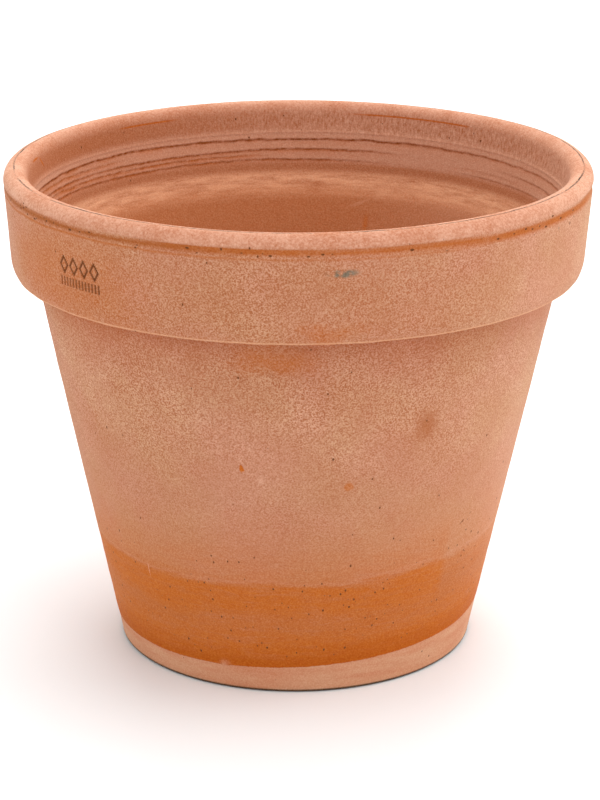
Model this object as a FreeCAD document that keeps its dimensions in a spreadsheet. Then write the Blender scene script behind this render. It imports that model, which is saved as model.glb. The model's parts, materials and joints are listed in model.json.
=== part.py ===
"""Clay flower pot: a conical wall with a band-shaped rim, an inner ledge, a floor with a drain hole and
a shallow recess under the foot.

The pot stands on its foot ring at Z = 0 with its axis on Z. Lengths are in millimetres. Radii are
measured from the axis and heights from the surface that the pot stands on.
"""
import FreeCAD, Part
import os

import Sketcher
from FreeCAD import Vector

UP = Vector(0, 0, 1)
FULL_TURN = 360
ON_EDGE = 0.05
SHEET = "Dimensions"

# alias, value, meaning
DIMENSIONS = [
    ("pot_height", 177.6, "foot to the top of the lip"),
    ("lip_diameter", 210.0, "widest diameter, round the lip"),
    ("lip_roundness", 4.46, "radius of the rounded lip"),
    ("foot_diameter", 129.6, "outside of the wall where it meets the foot"),
    ("neck_diameter", 188.6, "outside of the wall just under the rim"),
    ("rim_underside", 140.2, "height of the rim's flat underside"),
    ("rim_lower_diameter", 202.6, "outside of the rim at its lower edge"),
    ("rim_face_diameter", 205.8, "where the rim's lower edge runs into its face"),
    ("rim_face_start", 145.2, "height of that place"),
    ("mouth_diameter", 185.2, "inside of the mouth where it meets the ledge"),
    ("ledge_top", 150.5, "height of the ledge's outer edge"),
    ("ledge_diameter", 173.0, "inside of the ledge"),
    ("ledge_bottom", 144.0, "height of the ledge's inner edge"),
    ("floor_diameter", 117.6, "inside of the wall where it meets the floor"),
    ("floor_top", 12.0, "height of the inner floor"),
    ("recess_diameter", 100.0, "recess under the foot"),
    ("recess_depth", 2.0, "depth of that recess"),
    ("drain_diameter", 24.0, "drain hole through the floor"),
    ("foot_rounding", 1.5, "rounding of the foot ring's two edges"),
    ("neck_rounding", 2.0, "fillet between wall and rim underside"),
    ("ledge_rounding", 5.0, "roundings above and below the ledge"),
    ("floor_rounding", 8.0, "fillet between floor and wall"),
    ("drain_rounding", 2.5, "rounding of the drain hole's upper edge"),
    ("drain_relief", 1.0, "rounding of the drain hole's lower edge"),
]

# The wall's profile, in order: name of the corner, its radius and its height as sheet expressions.
# The lip's two ends have no place of their own: they follow from the tangents.
CORNERS = [
    ("FootEdge", "foot_diameter / 2", None),
    ("Neck", "neck_diameter / 2", "rim_underside"),
    ("RimEdge", "rim_lower_diameter / 2", "rim_underside"),
    ("RimFace", "rim_face_diameter / 2", "rim_face_start"),
    ("LedgeTop", "mouth_diameter / 2", "ledge_top"),
    ("LedgeBottom", "ledge_diameter / 2", "ledge_bottom"),
    ("FloorCorner", "floor_diameter / 2", "floor_top"),
]


def make_sheet(document):
    """The driving dimensions, one row each: meaning, value, alias."""
    sheet = document.addObject("Spreadsheet::Sheet", SHEET)
    for row, (alias, value, meaning) in enumerate(DIMENSIONS, start=1):
        sheet.set(f"A{row}", meaning)
        sheet.set(f"B{row}", str(value))
        sheet.setAlias(f"B{row}", alias)
    document.recompute()
    return sheet


def bound(expression):
    """The expression with each alias in it read from the sheet."""
    words = expression.split()
    aliases = {alias for alias, _, _ in DIMENSIONS}
    return " ".join(f"{SHEET}.{word}" if word in aliases else word for word in words)


def value_of(sheet, expression):
    """The number that an expression of aliases, numbers, / and - comes to."""
    words = expression.split()
    total = float(sheet.get(words[0]))
    for sign, word in zip(words[1::2], words[2::2]):
        number = float(word) if word[0].isdigit() else float(sheet.get(word))
        total = total / number if sign == "/" else total - number
    return total


def new_sketch(body, name, role):
    """An empty sketch on one of the body's own origin planes."""
    plane = next(item for item in body.Origin.OriginFeatures if item.Role == role)
    sketch = body.newObject("Sketcher::SketchObject", name)
    sketch.AttachmentSupport = (plane, [""])
    sketch.MapMode = "FlatFace"
    return sketch


def bind(sketch, kind, places, name, expression, value):
    """One dimension of a sketch, bound to the sheet."""
    index = sketch.addConstraint(Sketcher.Constraint(kind, *places, value))
    sketch.renameConstraint(index, name)
    sketch.setExpression(f"Constraints.{name}", bound(expression))


def draw_wall(body, sheet):
    """Half of the pot's section, from the axis outwards, up the outside, over the lip and down inside."""
    sketch = new_sketch(body, "WallProfile", "XZ_Plane")
    at = {}
    for name, radius, height in CORNERS:
        up = value_of(sheet, height) if height else 0.0
        at[name] = Vector(value_of(sheet, radius), up, 0)
    lip_radius = value_of(sheet, "lip_roundness")
    lip_centre = Vector(
        value_of(sheet, "lip_diameter / 2 - lip_roundness"),
        value_of(sheet, "pot_height - lip_roundness"),
        0,
    )
    lip_out = lip_centre + Vector(lip_radius, 0, 0)
    lip_top = lip_centre + Vector(0, lip_radius, 0)
    lip_in = lip_centre - Vector(lip_radius, 0, 0)
    floor_centre = Vector(0, at["FloorCorner"].y, 0)
    edge_middle = (at["RimEdge"] + at["RimFace"]) / 2 + Vector(lip_radius / 10, -lip_radius / 10, 0)
    outline = [
        Part.LineSegment(Vector(), at["FootEdge"]),
        Part.LineSegment(at["FootEdge"], at["Neck"]),
        Part.LineSegment(at["Neck"], at["RimEdge"]),
        Part.Arc(at["RimEdge"], edge_middle, at["RimFace"]),
        Part.LineSegment(at["RimFace"], lip_out),
        Part.Arc(lip_out, lip_top, lip_in),
        Part.LineSegment(lip_in, at["LedgeTop"]),
        Part.LineSegment(at["LedgeTop"], at["LedgeBottom"]),
        Part.LineSegment(at["LedgeBottom"], at["FloorCorner"]),
        Part.LineSegment(at["FloorCorner"], floor_centre),
        Part.LineSegment(floor_centre, Vector()),
    ]
    foot, wall, under, edge, face, lip, mouth, ledge, inner, floor, axis = range(len(outline))
    sketch.addGeometry(outline, False)

    first, last, middle, origin = 1, 2, 3, (-1, 1)
    smooth = {(edge, face), (face, lip), (lip, mouth)}
    for one, other in zip(range(len(outline)), [*range(1, len(outline)), 0]):
        joint = "Tangent" if (one, other) in smooth else "Coincident"
        sketch.addConstraint(Sketcher.Constraint(joint, one, last, other, first))
    sketch.addConstraint(Sketcher.Constraint("Coincident", foot, first, *origin))
    sketch.addConstraint(Sketcher.Constraint("Horizontal", foot))
    sketch.addConstraint(Sketcher.Constraint("Horizontal", floor))
    sketch.addConstraint(Sketcher.Constraint("Vertical", axis))

    ends = [foot, wall, under, edge, mouth, ledge, inner]
    for line, (name, radius, height) in zip(ends, CORNERS):
        place = (*origin, line, last)
        bind(sketch, "DistanceX", place, f"{name}Radius", radius, at[name].x)
        if height:
            bind(sketch, "DistanceY", place, f"{name}Height", height, at[name].y)
    bind(sketch, "Radius", (lip,), "LipRoundness", "lip_roundness", lip_radius)
    centre = (*origin, lip, middle)
    out = "lip_diameter / 2 - lip_roundness"
    bind(sketch, "DistanceX", centre, "LipOut", out, lip_centre.x)
    bind(sketch, "DistanceY", centre, "LipUp", "pot_height - lip_roundness", lip_centre.y)
    return sketch


def revolve_wall(body, sketch):
    """The solid of revolution that the section sweeps about the pot's axis."""
    wall = body.newObject("PartDesign::Revolution", "Wall")
    wall.Profile = sketch
    wall.ReferenceAxis = (sketch, ["V_Axis"])
    wall.Angle = FULL_TURN
    sketch.Visibility = False
    return wall


def cut_round(body, name, diameter, depth):
    """A round pocket cut upwards from the standing plane, through everything if depth is None."""
    sketch = new_sketch(body, f"{name}Circle", "XY_Plane")
    before = body.Shape.Volume
    radius = float(body.Document.getObject(SHEET).get(diameter)) / 2
    sketch.addGeometry(Part.Circle(Vector(), UP, radius), False)
    sketch.addConstraint(Sketcher.Constraint("Coincident", 0, 3, -1, 1))
    bind(sketch, "Radius", (0,), "Radius", f"{diameter} / 2", radius)
    pocket = body.newObject("PartDesign::Pocket", name)
    pocket.Profile = sketch
    pocket.Reversed = True
    if depth:
        pocket.setExpression("Length", bound(depth))
    else:
        pocket.Type = "ThroughAll"
    body.Document.recompute()
    if not body.Shape.Volume < before:
        raise RuntimeError(f"{name} removed nothing")
    return pocket


def round_edges(body, name, circles, radius):
    """A fillet along each of the circles, given as (radius, height) about the pot's axis."""
    base = body.Tip
    chosen = []
    for number, edge in enumerate(base.Shape.Edges, start=1):
        curve = edge.Curve
        if not isinstance(curve, Part.Circle):
            continue
        for wide, high in circles:
            near = abs(curve.Radius - wide) < ON_EDGE and abs(curve.Center.z - high) < ON_EDGE
            if near and f"Edge{number}" not in chosen:
                chosen.append(f"Edge{number}")
    if len(chosen) != len(circles):
        raise RuntimeError(f"{name} found {len(chosen)} of its {len(circles)} edges")
    fillet = body.newObject("PartDesign::Fillet", name)
    fillet.Base = (base, chosen)
    fillet.setExpression("Radius", bound(radius))
    body.Document.recompute()
    return fillet


def make_pot(document, sheet):
    """The pot, as one body: revolved wall, recessed foot, drain hole, then the soft edges of pressed clay."""

    def half(alias):
        return value_of(sheet, f"{alias} / 2")

    def size(alias):
        return value_of(sheet, alias)

    body = document.addObject("PartDesign::Body", "Pot")
    body.Label = "pot"
    revolve_wall(body, draw_wall(body, sheet))
    document.recompute()
    cut_round(body, "FootRecess", "recess_diameter", "recess_depth")
    cut_round(body, "DrainHole", "drain_diameter", None)

    foot = [(half("foot_diameter"), 0), (half("recess_diameter"), 0)]
    neck = [(half("neck_diameter"), size("rim_underside"))]
    ledge = [
        (half("mouth_diameter"), size("ledge_top")),
        (half("ledge_diameter"), size("ledge_bottom")),
    ]
    floor = [(half("floor_diameter"), size("floor_top"))]
    drain_top = [(half("drain_diameter"), size("floor_top"))]
    drain_foot = [(half("drain_diameter"), size("recess_depth"))]
    round_edges(body, "FootRounding", foot, "foot_rounding")
    round_edges(body, "NeckRounding", neck, "neck_rounding")
    round_edges(body, "LedgeRounding", ledge, "ledge_rounding")
    round_edges(body, "FloorRounding", floor, "floor_rounding")
    round_edges(body, "DrainRounding", drain_top, "drain_rounding")
    round_edges(body, "DrainRelief", drain_foot, "drain_relief")
    body.Placement = FreeCAD.Placement(Vector(0, 0, 0), FreeCAD.Rotation(UP, 0))
    document.recompute()
    return body


def check(document, parts):
    """Stops if any object failed to compute or any part isn't a sound solid."""
    for item in document.Objects:
        if {"Invalid", "Error"} & set(item.State):
            raise RuntimeError(f"{item.Name} failed: {item.State}")
    for part in parts:
        shape = part.Shape
        if shape.isNull() or not shape.isValid() or len(shape.Solids) != 1:
            raise RuntimeError(f"{part.Label} isn't one sound solid")


def main():
    document = FreeCAD.newDocument("FlowerPot")
    sheet = make_sheet(document)
    parts = [make_pot(document, sheet)]
    document.recompute()
    check(document, parts)
    os.makedirs("parts", exist_ok=True)
    for part in parts:
        part.Shape.exportStep(f"parts/{part.Label}.step")
        box = part.Shape.optimalBoundingBox()
        print(part.Label, "volume cm3", round(part.Shape.Volume / 1000, 1))
        print("size mm", round(box.XLength, 2), round(box.YLength, 2), round(box.ZLength, 2))


main()
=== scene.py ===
"""A clay flower pot, 21 cm across, with its surface, and a plain studio to look at it in.

The pot is one closed shell: its section is carried once round the upright axis. Angles are measured
from the front (-Y) towards +X. Lengths are in metres.
"""
import json
import math

import bpy
import numpy as np
from bpy.props import FloatProperty, FloatVectorProperty, IntProperty, PointerProperty
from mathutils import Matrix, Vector

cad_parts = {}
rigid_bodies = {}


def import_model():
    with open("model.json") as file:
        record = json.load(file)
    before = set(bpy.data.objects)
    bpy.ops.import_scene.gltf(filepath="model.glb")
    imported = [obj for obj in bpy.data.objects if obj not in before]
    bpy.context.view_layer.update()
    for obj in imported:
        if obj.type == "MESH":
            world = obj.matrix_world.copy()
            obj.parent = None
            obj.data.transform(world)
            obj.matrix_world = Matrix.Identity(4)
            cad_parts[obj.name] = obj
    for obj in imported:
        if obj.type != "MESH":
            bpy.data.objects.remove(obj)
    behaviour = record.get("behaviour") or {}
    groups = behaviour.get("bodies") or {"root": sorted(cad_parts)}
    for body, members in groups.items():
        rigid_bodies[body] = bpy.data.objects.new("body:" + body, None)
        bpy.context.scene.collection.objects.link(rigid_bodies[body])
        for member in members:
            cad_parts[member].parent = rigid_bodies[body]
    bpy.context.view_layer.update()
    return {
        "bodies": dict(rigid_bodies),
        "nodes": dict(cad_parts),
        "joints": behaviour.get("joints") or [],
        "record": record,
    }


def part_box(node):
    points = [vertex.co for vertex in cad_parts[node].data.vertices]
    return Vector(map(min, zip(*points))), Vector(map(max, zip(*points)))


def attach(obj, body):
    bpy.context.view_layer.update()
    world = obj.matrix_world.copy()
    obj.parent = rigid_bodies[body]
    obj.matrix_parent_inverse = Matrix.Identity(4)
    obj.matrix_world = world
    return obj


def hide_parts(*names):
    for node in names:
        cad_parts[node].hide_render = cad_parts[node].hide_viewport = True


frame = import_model()

bl_info = {
    "name": "Clay Flower Pot",
    "version": (1, 0, 0),
    "blender": (4, 5, 0),
    "location": "View3D > Sidebar > Pot",
    "description": "Builds a rimmed clay flower pot with its fired and weathered surface",
    "category": "Add Mesh",
}

MM = 0.001
NODE = "pot"
POT_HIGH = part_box(NODE)[1]
MOUNTS = {mount["name"]: mount for mount in frame["record"]["mounts"]}
DRAIN = MOUNTS["drain_hole"]["dims"]["r_mm"] * MM
SHOULDER = MOUNTS["rim_shoulder"]["pos_m"][2]

# The radius at which the outer wall is rolled out flat, for marks that have a place on it.
WALL_RADIUS = 100 * MM
# How far the lip stands to the right of the foot.
LEAN = 1.35 * MM
# The pale band's upper edge round the foot: a plane, its height on the axis and its rise across and back.
WATERLINE = 12.6 * MM
WATERLINE_SLOPE = (0.045, 0.030)
# How fine the cells are that hold at most one pore or pit each, per metre.
HOLE_CELLS = 560
# Share of cells that hold a pore, by height as a share of the pot's.
PORES_BY_HEIGHT = (
    (0.06, 0.06), (0.09, 0.50), (0.28, 0.46), (0.37, 0.03),
    (0.93, 0.008), (0.955, 0.15), (0.973, 0.15), (0.98, 0.01),
)
# Strength of the worm-like lime and of the even haze of lime, by height as a share of the pot's.
LIME_BY_HEIGHT = (
    (0.24, 0.16), (0.34, 0.36), (0.46, 0.66), (0.60, 0.98),
    (0.68, 0.98), (0.74, 0.74), (0.785, 0.46), (0.80, 0.80),
)
HAZE_BY_HEIGHT = (
    (0.22, 0.03), (0.27, 0.34), (0.34, 0.30), (0.42, 0.20), (0.56, 0.12), (0.70, 0.03), (0.80, 0.06),
)
# How bare the clay is above the foot, by height over the tilted waterline, in parts of 100 mm.
BARE_BY_HEIGHT = (
    (0.16, 1.0), (0.21, 1.0), (0.26, 0.84), (0.32, 0.72), (0.365, 0.97),
    (0.452, 0.96), (0.480, 0.56), (0.55, 0.40), (0.66, 0.14), (0.80, 0),
)
# Where the line under the lip shows on the inside, as a share of the way round.
LIP_LINE_PARTS = (
    (0.078, 0), (0.088, 1), (0.118, 1), (0.126, 0), (0.879, 0), (0.884, 1), (0.950, 1), (0.968, 0),
)
# Rings inside the mouth: height, depth, how steady round the pot, and how ragged.
RINGS = (
    (163.7 * MM, 0.42 * MM, 0.95, 0.17 * MM),
    (159.5 * MM, 0.30 * MM, 0.55, 0.12 * MM),
    (155.6 * MM, 0.26 * MM, 0.45, 0.12 * MM),
    (161.6 * MM, 0.12 * MM, -0.30, 0.14 * MM),
    (157.6 * MM, 0.14 * MM, -0.35, 0.16 * MM),
)
# How far a ring's step runs out below it, and the angles where the rings are most worn and most bare.
RING_FADE = 1.2 * MM
RINGS_WORN_AT = math.radians(112)
RINGS_BARE_AT = math.radians(-118)
# Across a ring, downwards from its line: where its step starts and is full, the middle and half width of
# the clay pushed up above it, and those of the soil in it.
RING_STEP = (-0.12 * MM, 0.22 * MM)
PUSHED_UP = (-0.35 * MM, 0.4 * MM)
SOIL_LIES = (0.14 * MM, 0.42 * MM)
# The fine ridge above the rings: height, wander, half width and how far it stands out; and the rings' wander.
RIDGE_HEIGHT, RIDGE_WANDER, RIDGE_WIDTH, RIDGE_STANDS = 166.2 * MM, 0.2 * MM, 0.35 * MM, 0.22 * MM
RING_WANDER = 0.22 * MM
# The worn hollow under the lip: its top, how far that wavers, its mean span, how much the span changes from
# side to side, how soft its edges are, and its depth.
HOLLOW_TOP, HOLLOW_WANDER, HOLLOW_SOFT, HOLLOW_DEPTH = 173.0 * MM, 0.25 * MM, 0.5 * MM, 0.28 * MM
HOLLOW_SPAN, HOLLOW_SPAN_CHANGE = 2.4 * MM, 0.9 * MM
# The crumb of clay left on the foot band's edge, and how far it stands out.
CRUMB_ANGLE = math.radians(-21.7)
CRUMB_HEIGHT, CRUMB_WIDE, CRUMB_HIGH, CRUMB_STANDS = 10.2 * MM, 1.5 * MM, 1.1 * MM, 0.85 * MM
# How deep the clay is worked: slow and quick unevenness, turning marks outside and inside, the floor's smear
# rings and their pitch, the rim's wavy edge, the foot band's step, and the drain hole's rough edge.
SLOW_DEPTH, QUICK_DEPTH = 0.09 * MM, 0.022 * MM
OUTER_TURNING, INNER_TURNING = 0.035 * MM, 0.07 * MM
SMEAR_DEPTH, SMEAR_PITCH = 0.10 * MM, 5.5 * MM
RIM_WAVER, BAND_STEP, DRAIN_ROUGH = 0.07 * MM, 0.13 * MM, 0.25 * MM
# Where each of these starts, is full, starts to fade and ends: heights for the wall, the mouth and the rows
# of the grid that follow the rings, radii for the floor.
WALL_BAND = (2 * MM, 8 * MM, 130 * MM, 138 * MM)
MOUTH_BAND = (152 * MM, 153 * MM, 168.5 * MM, 170 * MM)
RING_ROWS = (151.5 * MM, 153 * MM, 166.5 * MM, 168 * MM)
FLOOR_BAND = (15 * MM, 22 * MM, 44 * MM, 48 * MM)
# How far the pot is out of round, with two and with three waves round it.
OVAL_TWO, OVAL_THREE = 0.16 * MM, 0.09 * MM
# Distances between nodes, and between frames, in the node editor.
COLUMN_STEP, ROW_STEP, FRAME_GAP = 220, 230, 450
# Inputs of a Noise Texture node and of a Map Range node, in the order in which tables give their values.
NOISE_SETTINGS = ("Scale", "Detail", "Roughness", "Distortion")
RANGE_ENDS = ("From Min", "From Max", "To Min", "To Max")
# Sockets of a Mix node that mixes colours.
MIX_FACTOR, MIX_A, MIX_B, MIX_RESULT = 0, 6, 7, 2

# The section's corners, in the order in which the outline meets them.
(
    DRAIN_FOOT, RECESS, RING, FOOT, NECK, RIM_EDGE, RIM_BEVEL,
    LIP_OUT, LIP_IN, LEDGE_TOP, LEDGE_EDGE, FLOOR, DRAIN_TOP,
) = range(13)


def length(name, description, default):
    """A length that the sidebar shows in scene units."""
    return FloatProperty(name=name, description=description, default=default, unit="LENGTH", precision=5)


def colour(name, description, default):
    """A colour that the sidebar shows as a swatch."""
    return FloatVectorProperty(
        name=name, description=description, default=(*default, 1.0), subtype="COLOR", size=4, min=0, max=1
    )


def bearing(name, description, degrees):
    """An angle that the sidebar shows in degrees."""
    return FloatProperty(name=name, description=description, default=math.radians(degrees), subtype="ANGLE")


def power(name, description, default):
    """A lamp's power, which the sidebar shows in watts."""
    return FloatProperty(name=name, description=description, default=default, min=0, unit="POWER")


class PotShape(bpy.types.PropertyGroup):
    """Sizes of the pot's section and of its grid."""

    height: length("Height", "Foot to the top of the lip", POT_HIGH.z)
    lip_radius: length("Lip radius", "Widest radius, round the lip", 0.105)
    lip_round: length("Lip rounding", "Radius of the rounded lip", 0.00446)
    foot_radius: length("Foot radius", "Outside of the wall at the foot", 0.0648)
    neck_radius: length("Neck radius", "Outside of the wall under the rim", 0.0943)
    rim_bottom: length("Rim underside", "Height of the rim's underside", SHOULDER)
    rim_radius: length("Rim edge radius", "Outside of the rim at its lower edge", 0.1013)
    bevel_radius: length("Bevel radius", "Where the rim's softened foot meets its face", 0.10267)
    bevel_height: length("Bevel height", "Height of that place", 0.14249)
    bevel_round: length("Bevel rounding", "Rounding of the rim's softened foot", 0.0114)
    mouth_radius: length("Mouth radius", "Inside of the mouth above the ledge", 0.0926)
    ledge_top: length("Ledge top", "Height of the ledge's outer edge", 0.1505)
    ledge_radius: length("Ledge radius", "Inside of the ledge", 0.0865)
    ledge_edge: length("Ledge edge", "Height of the ledge's inner edge", 0.144)
    ledge_round: length("Ledge rounding", "Roundings above and below the ledge", 0.006)
    floor_radius: length("Floor radius", "Inside of the wall at the floor", 0.0588)
    floor_height: length("Floor height", "Height of the inner floor", 0.012)
    floor_round: length("Floor rounding", "Fillet between floor and wall", 0.008)
    drain_radius: length("Drain radius", "Drain hole", DRAIN)
    recess_radius: length("Recess radius", "Recess under the foot", 0.050)
    recess_depth: length("Recess depth", "Depth of that recess", 0.002)
    lean: length("Lean", "How far the lip stands to the right of the foot", LEAN)
    rows: IntProperty(name="Rows", description="Grid rows round the section", default=284, min=120)
    columns: IntProperty(name="Columns", description="Grid columns round the pot", default=352, min=120)


class PotMark(bpy.types.PropertyGroup):
    """The pattern pressed into the rim: a row of lozenges over a row of short bars."""

    angle: bearing("Angle", "Where the mark is, from the front", -44.8)
    height: length("Mark height", "Height of the mark's middle", 0.1558)
    width: length("Mark width", "Width of each row", 0.0204)
    lozenge: length("Lozenge height", "Height of a lozenge", 0.0056)
    bar: length("Bar height", "Height of a bar", 0.0034)
    gap: length("Row gap", "Clay between the rows", 0.0014)
    stroke: length("Stroke", "Width of a pressed line", 0.0008)
    depth: length("Mark depth", "How deep the lines are pressed", 0.0005)
    lozenges: IntProperty(name="Lozenges", description="How many lozenges", default=4, min=1)
    bars: IntProperty(name="Bars", description="How many bars", default=13, min=1)


class ClayFinish(bpy.types.PropertyGroup):
    """Colours of the fired clay."""

    clay: colour("Clay", "Body of the fired clay", (0.54, 0.225, 0.120))
    # Ochre and rust also colour the painted shade under the rim.
    ochre: colour("Ochre", "Warmer clay that shows through the bloom", (0.485, 0.169, 0.067))
    rust: colour("Rust", "Redder clouds in the clay", (0.47, 0.135, 0.050))
    bloom: colour("Bloom", "Pale pink mineral bloom", (0.74, 0.415, 0.285))
    tan: colour("Tan", "Tan mineral bloom", (0.72, 0.435, 0.268))
    orange: colour("Orange", "Bare clay above the foot", (0.585, 0.158, 0.018))
    umber: colour("Umber", "Darkest clay, just above the foot band", (0.52, 0.120, 0.009))
    foot: colour("Foot band", "Pale band round the foot", (0.63, 0.256, 0.131))
    rubbed: colour("Rubbed", "Bare clay where the rim is rubbed", (0.52, 0.150, 0.036))
    # Painted highlight: this pale colour is laid along the rim's lower edge, where that edge catches the
    # light.
    edge_highlight: colour("Chalk", "Chalky line along the rim's edge", (0.80, 0.46, 0.270))
    lip: colour("Lip", "Smooth pale clay of the lip", (0.58, 0.240, 0.130))
    inner: colour("Inside", "Bare clay inside the mouth", (0.47, 0.170, 0.074))
    inner_lime: colour("Inside lime", "Limed clay inside the mouth", (0.68, 0.38, 0.255))
    # Partly painted light: the ledge's smooth clay is made paler to stand in for the light on its
    # upward-facing slope.
    ledge: colour("Ledge", "Smooth clay of the inner ledge", (0.70, 0.365, 0.208))
    inner_low: colour("Inside low", "Clay far down inside", (0.56, 0.215, 0.088))
    soil: colour("Soil", "Soil in the mark", (0.19, 0.058, 0.017))
    ring_soil: colour("Ring soil", "Soil in the rings inside", (0.33, 0.088, 0.018))
    pore: colour("Pore", "Inside of a pore", (0.20, 0.062, 0.019))
    # This colour is real dirt in the lip's crack, and also a painted contact shadow in a dark ring round the
    # lowest 1.5 mm of the foot.
    crack_dirt_and_contact_shadow: colour("Grime", "Dark dirt in cracks and underfoot", (0.050, 0.028, 0.014))
    algae: colour("Algae", "Grey-green smudge", (0.20, 0.17, 0.12))


class StudioLook(bpy.types.PropertyGroup):
    """Camera and lamps."""

    distance: length("Camera distance", "Camera to the point it looks at", 0.985)
    aim_height: length("Aim height", "Height of the point it looks at", 0.08746)
    aim_side: length("Aim side", "That point's place to the right", 0.00176)
    elevation: bearing("Elevation", "How far the camera looks down", 18.504)
    lens: FloatProperty(name="Lens", description="Focal length in millimetres", default=120.88, min=10)
    sky: FloatProperty(name="Surround", description="Strength of the white surround", default=0.74, min=0)
    top: power("Top lamp", "Power of the overhead softbox", 16.5)
    side: power("Side lamp", "Power of the right softbox", 5.8)
    back: power("Back lamp", "Power of the wash over the backdrop", 30)
    front: power("Front lamp", "Power of the front fill", 3)


def smooth(value, low, high):
    """A soft step: 0 below low, 1 above high, and 3t^2 - 2t^3 between."""
    share = np.clip((value - low) / (high - low), 0, 1)
    return share * share * (3 - 2 * share)


def within(value, band):
    """A soft band: a soft step up between the band's first two values and down between its last two."""
    rise_from, rise_to, fall_from, fall_to = band
    return smooth(value, rise_from, rise_to) * (1 - smooth(value, fall_from, fall_to))


def hump(value, middle, width):
    """A bell: exp(-(distance from middle / width)^2)."""
    return np.exp(-(((value - middle) / width) ** 2))


def turned(angle, start):
    """The angle measured from start, between half a turn back and half a turn on."""
    return (angle - start + np.pi) % (2 * np.pi) - np.pi


def even_steps(position, density, count):
    """Places along position that each hold the same share of the density's running sum."""
    steps = (density[1:] + density[:-1]) / 2 * np.diff(position)
    share = np.concatenate([[0.0], np.cumsum(steps)])
    return np.interp(np.arange(count) / count * share[-1], share, position)


def waves(angle, along=0, *, seed, turns, rate=0, count=26):
    """Slow random unevenness: a sum of cosines, each with a whole number of waves round the pot, up to
    turns, so that it closes, and up to rate radians per metre along the section."""
    draw = np.random.default_rng(seed)
    round_count = draw.integers(1, turns + 1, count)
    along_rate = draw.uniform(-rate, rate, count)
    phase = draw.uniform(0, 2 * np.pi, count)
    total = sum(np.cos(k * angle + w * along + p) for k, w, p in zip(round_count, along_rate, phase))
    return total / math.sqrt(count)


def rounded_outline(corners, rounding, samples):
    """Fine points along a closed outline with rounded corners.

    A corner's arc touches both of its straights, at rounding * tan(turn / 2) from the corner; the arc's
    points are its first point turned about its centre by an even share of the turn. Straights join one
    arc's end to the next arc's start. Returns points, the bend (1 / rounding on arcs) and each point's
    corner.
    """
    arriving = corners - np.roll(corners, 1, 0)
    arriving /= np.linalg.norm(arriving, axis=1)[:, None]
    leaving = np.roll(arriving, -1, 0)
    cross = arriving[:, 0] * leaving[:, 1] - arriving[:, 1] * leaving[:, 0]
    turn = np.arctan2(cross, (arriving * leaving).sum(1))
    reach = (rounding * np.tan(np.abs(turn) / 2))[:, None]
    start, end = corners - arriving * reach, corners + leaving * reach
    left = np.stack([-arriving[:, 1], arriving[:, 0]], 1) * np.sign(turn)[:, None]
    centre = start + left * rounding[:, None]
    share = np.linspace(0, 1, samples, endpoint=False)
    swing = turn[:, None] * share
    arm = (start - centre)[:, None, :]
    arcs = centre[:, None, :] + np.stack(
        [
            arm[..., 0] * np.cos(swing) - arm[..., 1] * np.sin(swing),
            arm[..., 0] * np.sin(swing) + arm[..., 1] * np.cos(swing),
        ],
        -1,
    )
    runs = end[:, None, :] + (np.roll(start, -1, 0) - end)[:, None, :] * share[:, None]
    points = np.concatenate([arcs, runs], 1).reshape(-1, 2)
    bend = np.concatenate([np.repeat(1 / rounding[:, None], samples, 1), np.zeros_like(runs[..., 0])], 1)
    corner = np.repeat(np.arange(len(corners)), 2 * samples)
    return points, bend.ravel(), corner


def pot_corners(shape):
    """Corner places (radius, height) and roundings of the section, in the order of the names above.

    The lip's two corners lie where the rim's face and the mouth's wall, carried on, reach the lip's top.
    """
    lip_centre = Vector((shape.lip_radius - shape.lip_round, shape.height - shape.lip_round))

    def carried_on(x, z, side):
        """Where the line from (x, z) that touches the lip's circle on one side reaches the lip's top."""
        to_centre = lip_centre - Vector((x, z))
        bearing = math.atan2(to_centre.y, to_centre.x)
        bearing -= side * math.asin(shape.lip_round / to_centre.length)
        return x + (shape.height - z) / math.tan(bearing), shape.height

    corners = np.array(
        [
            (shape.drain_radius, shape.recess_depth),
            (shape.recess_radius, shape.recess_depth),
            (shape.recess_radius + 0.3 * MM, 0),
            (shape.foot_radius, 0),
            (shape.neck_radius, shape.rim_bottom),
            (shape.rim_radius, shape.rim_bottom),
            (shape.bevel_radius, shape.bevel_height),
            carried_on(shape.bevel_radius, shape.bevel_height, 1),
            carried_on(shape.mouth_radius, shape.ledge_top, -1),
            (shape.mouth_radius, shape.ledge_top),
            (shape.ledge_radius, shape.ledge_edge),
            (shape.floor_radius, shape.floor_height),
            (shape.drain_radius, shape.floor_height),
        ]
    )
    rounding = np.full(len(corners), 1.5 * MM)
    rounding[DRAIN_FOOT] = 1.0 * MM
    rounding[RECESS] = 0.5 * MM
    rounding[RING] = 1.2 * MM
    rounding[NECK] = 2.0 * MM
    rounding[RIM_EDGE] = 0.3 * MM
    rounding[RIM_BEVEL] = shape.bevel_round
    rounding[[LIP_OUT, LIP_IN]] = shape.lip_round
    rounding[[LEDGE_TOP, LEDGE_EDGE]] = shape.ledge_round
    rounding[FLOOR] = shape.floor_round
    rounding[DRAIN_TOP] = 2.5 * MM
    return corners, rounding


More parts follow.
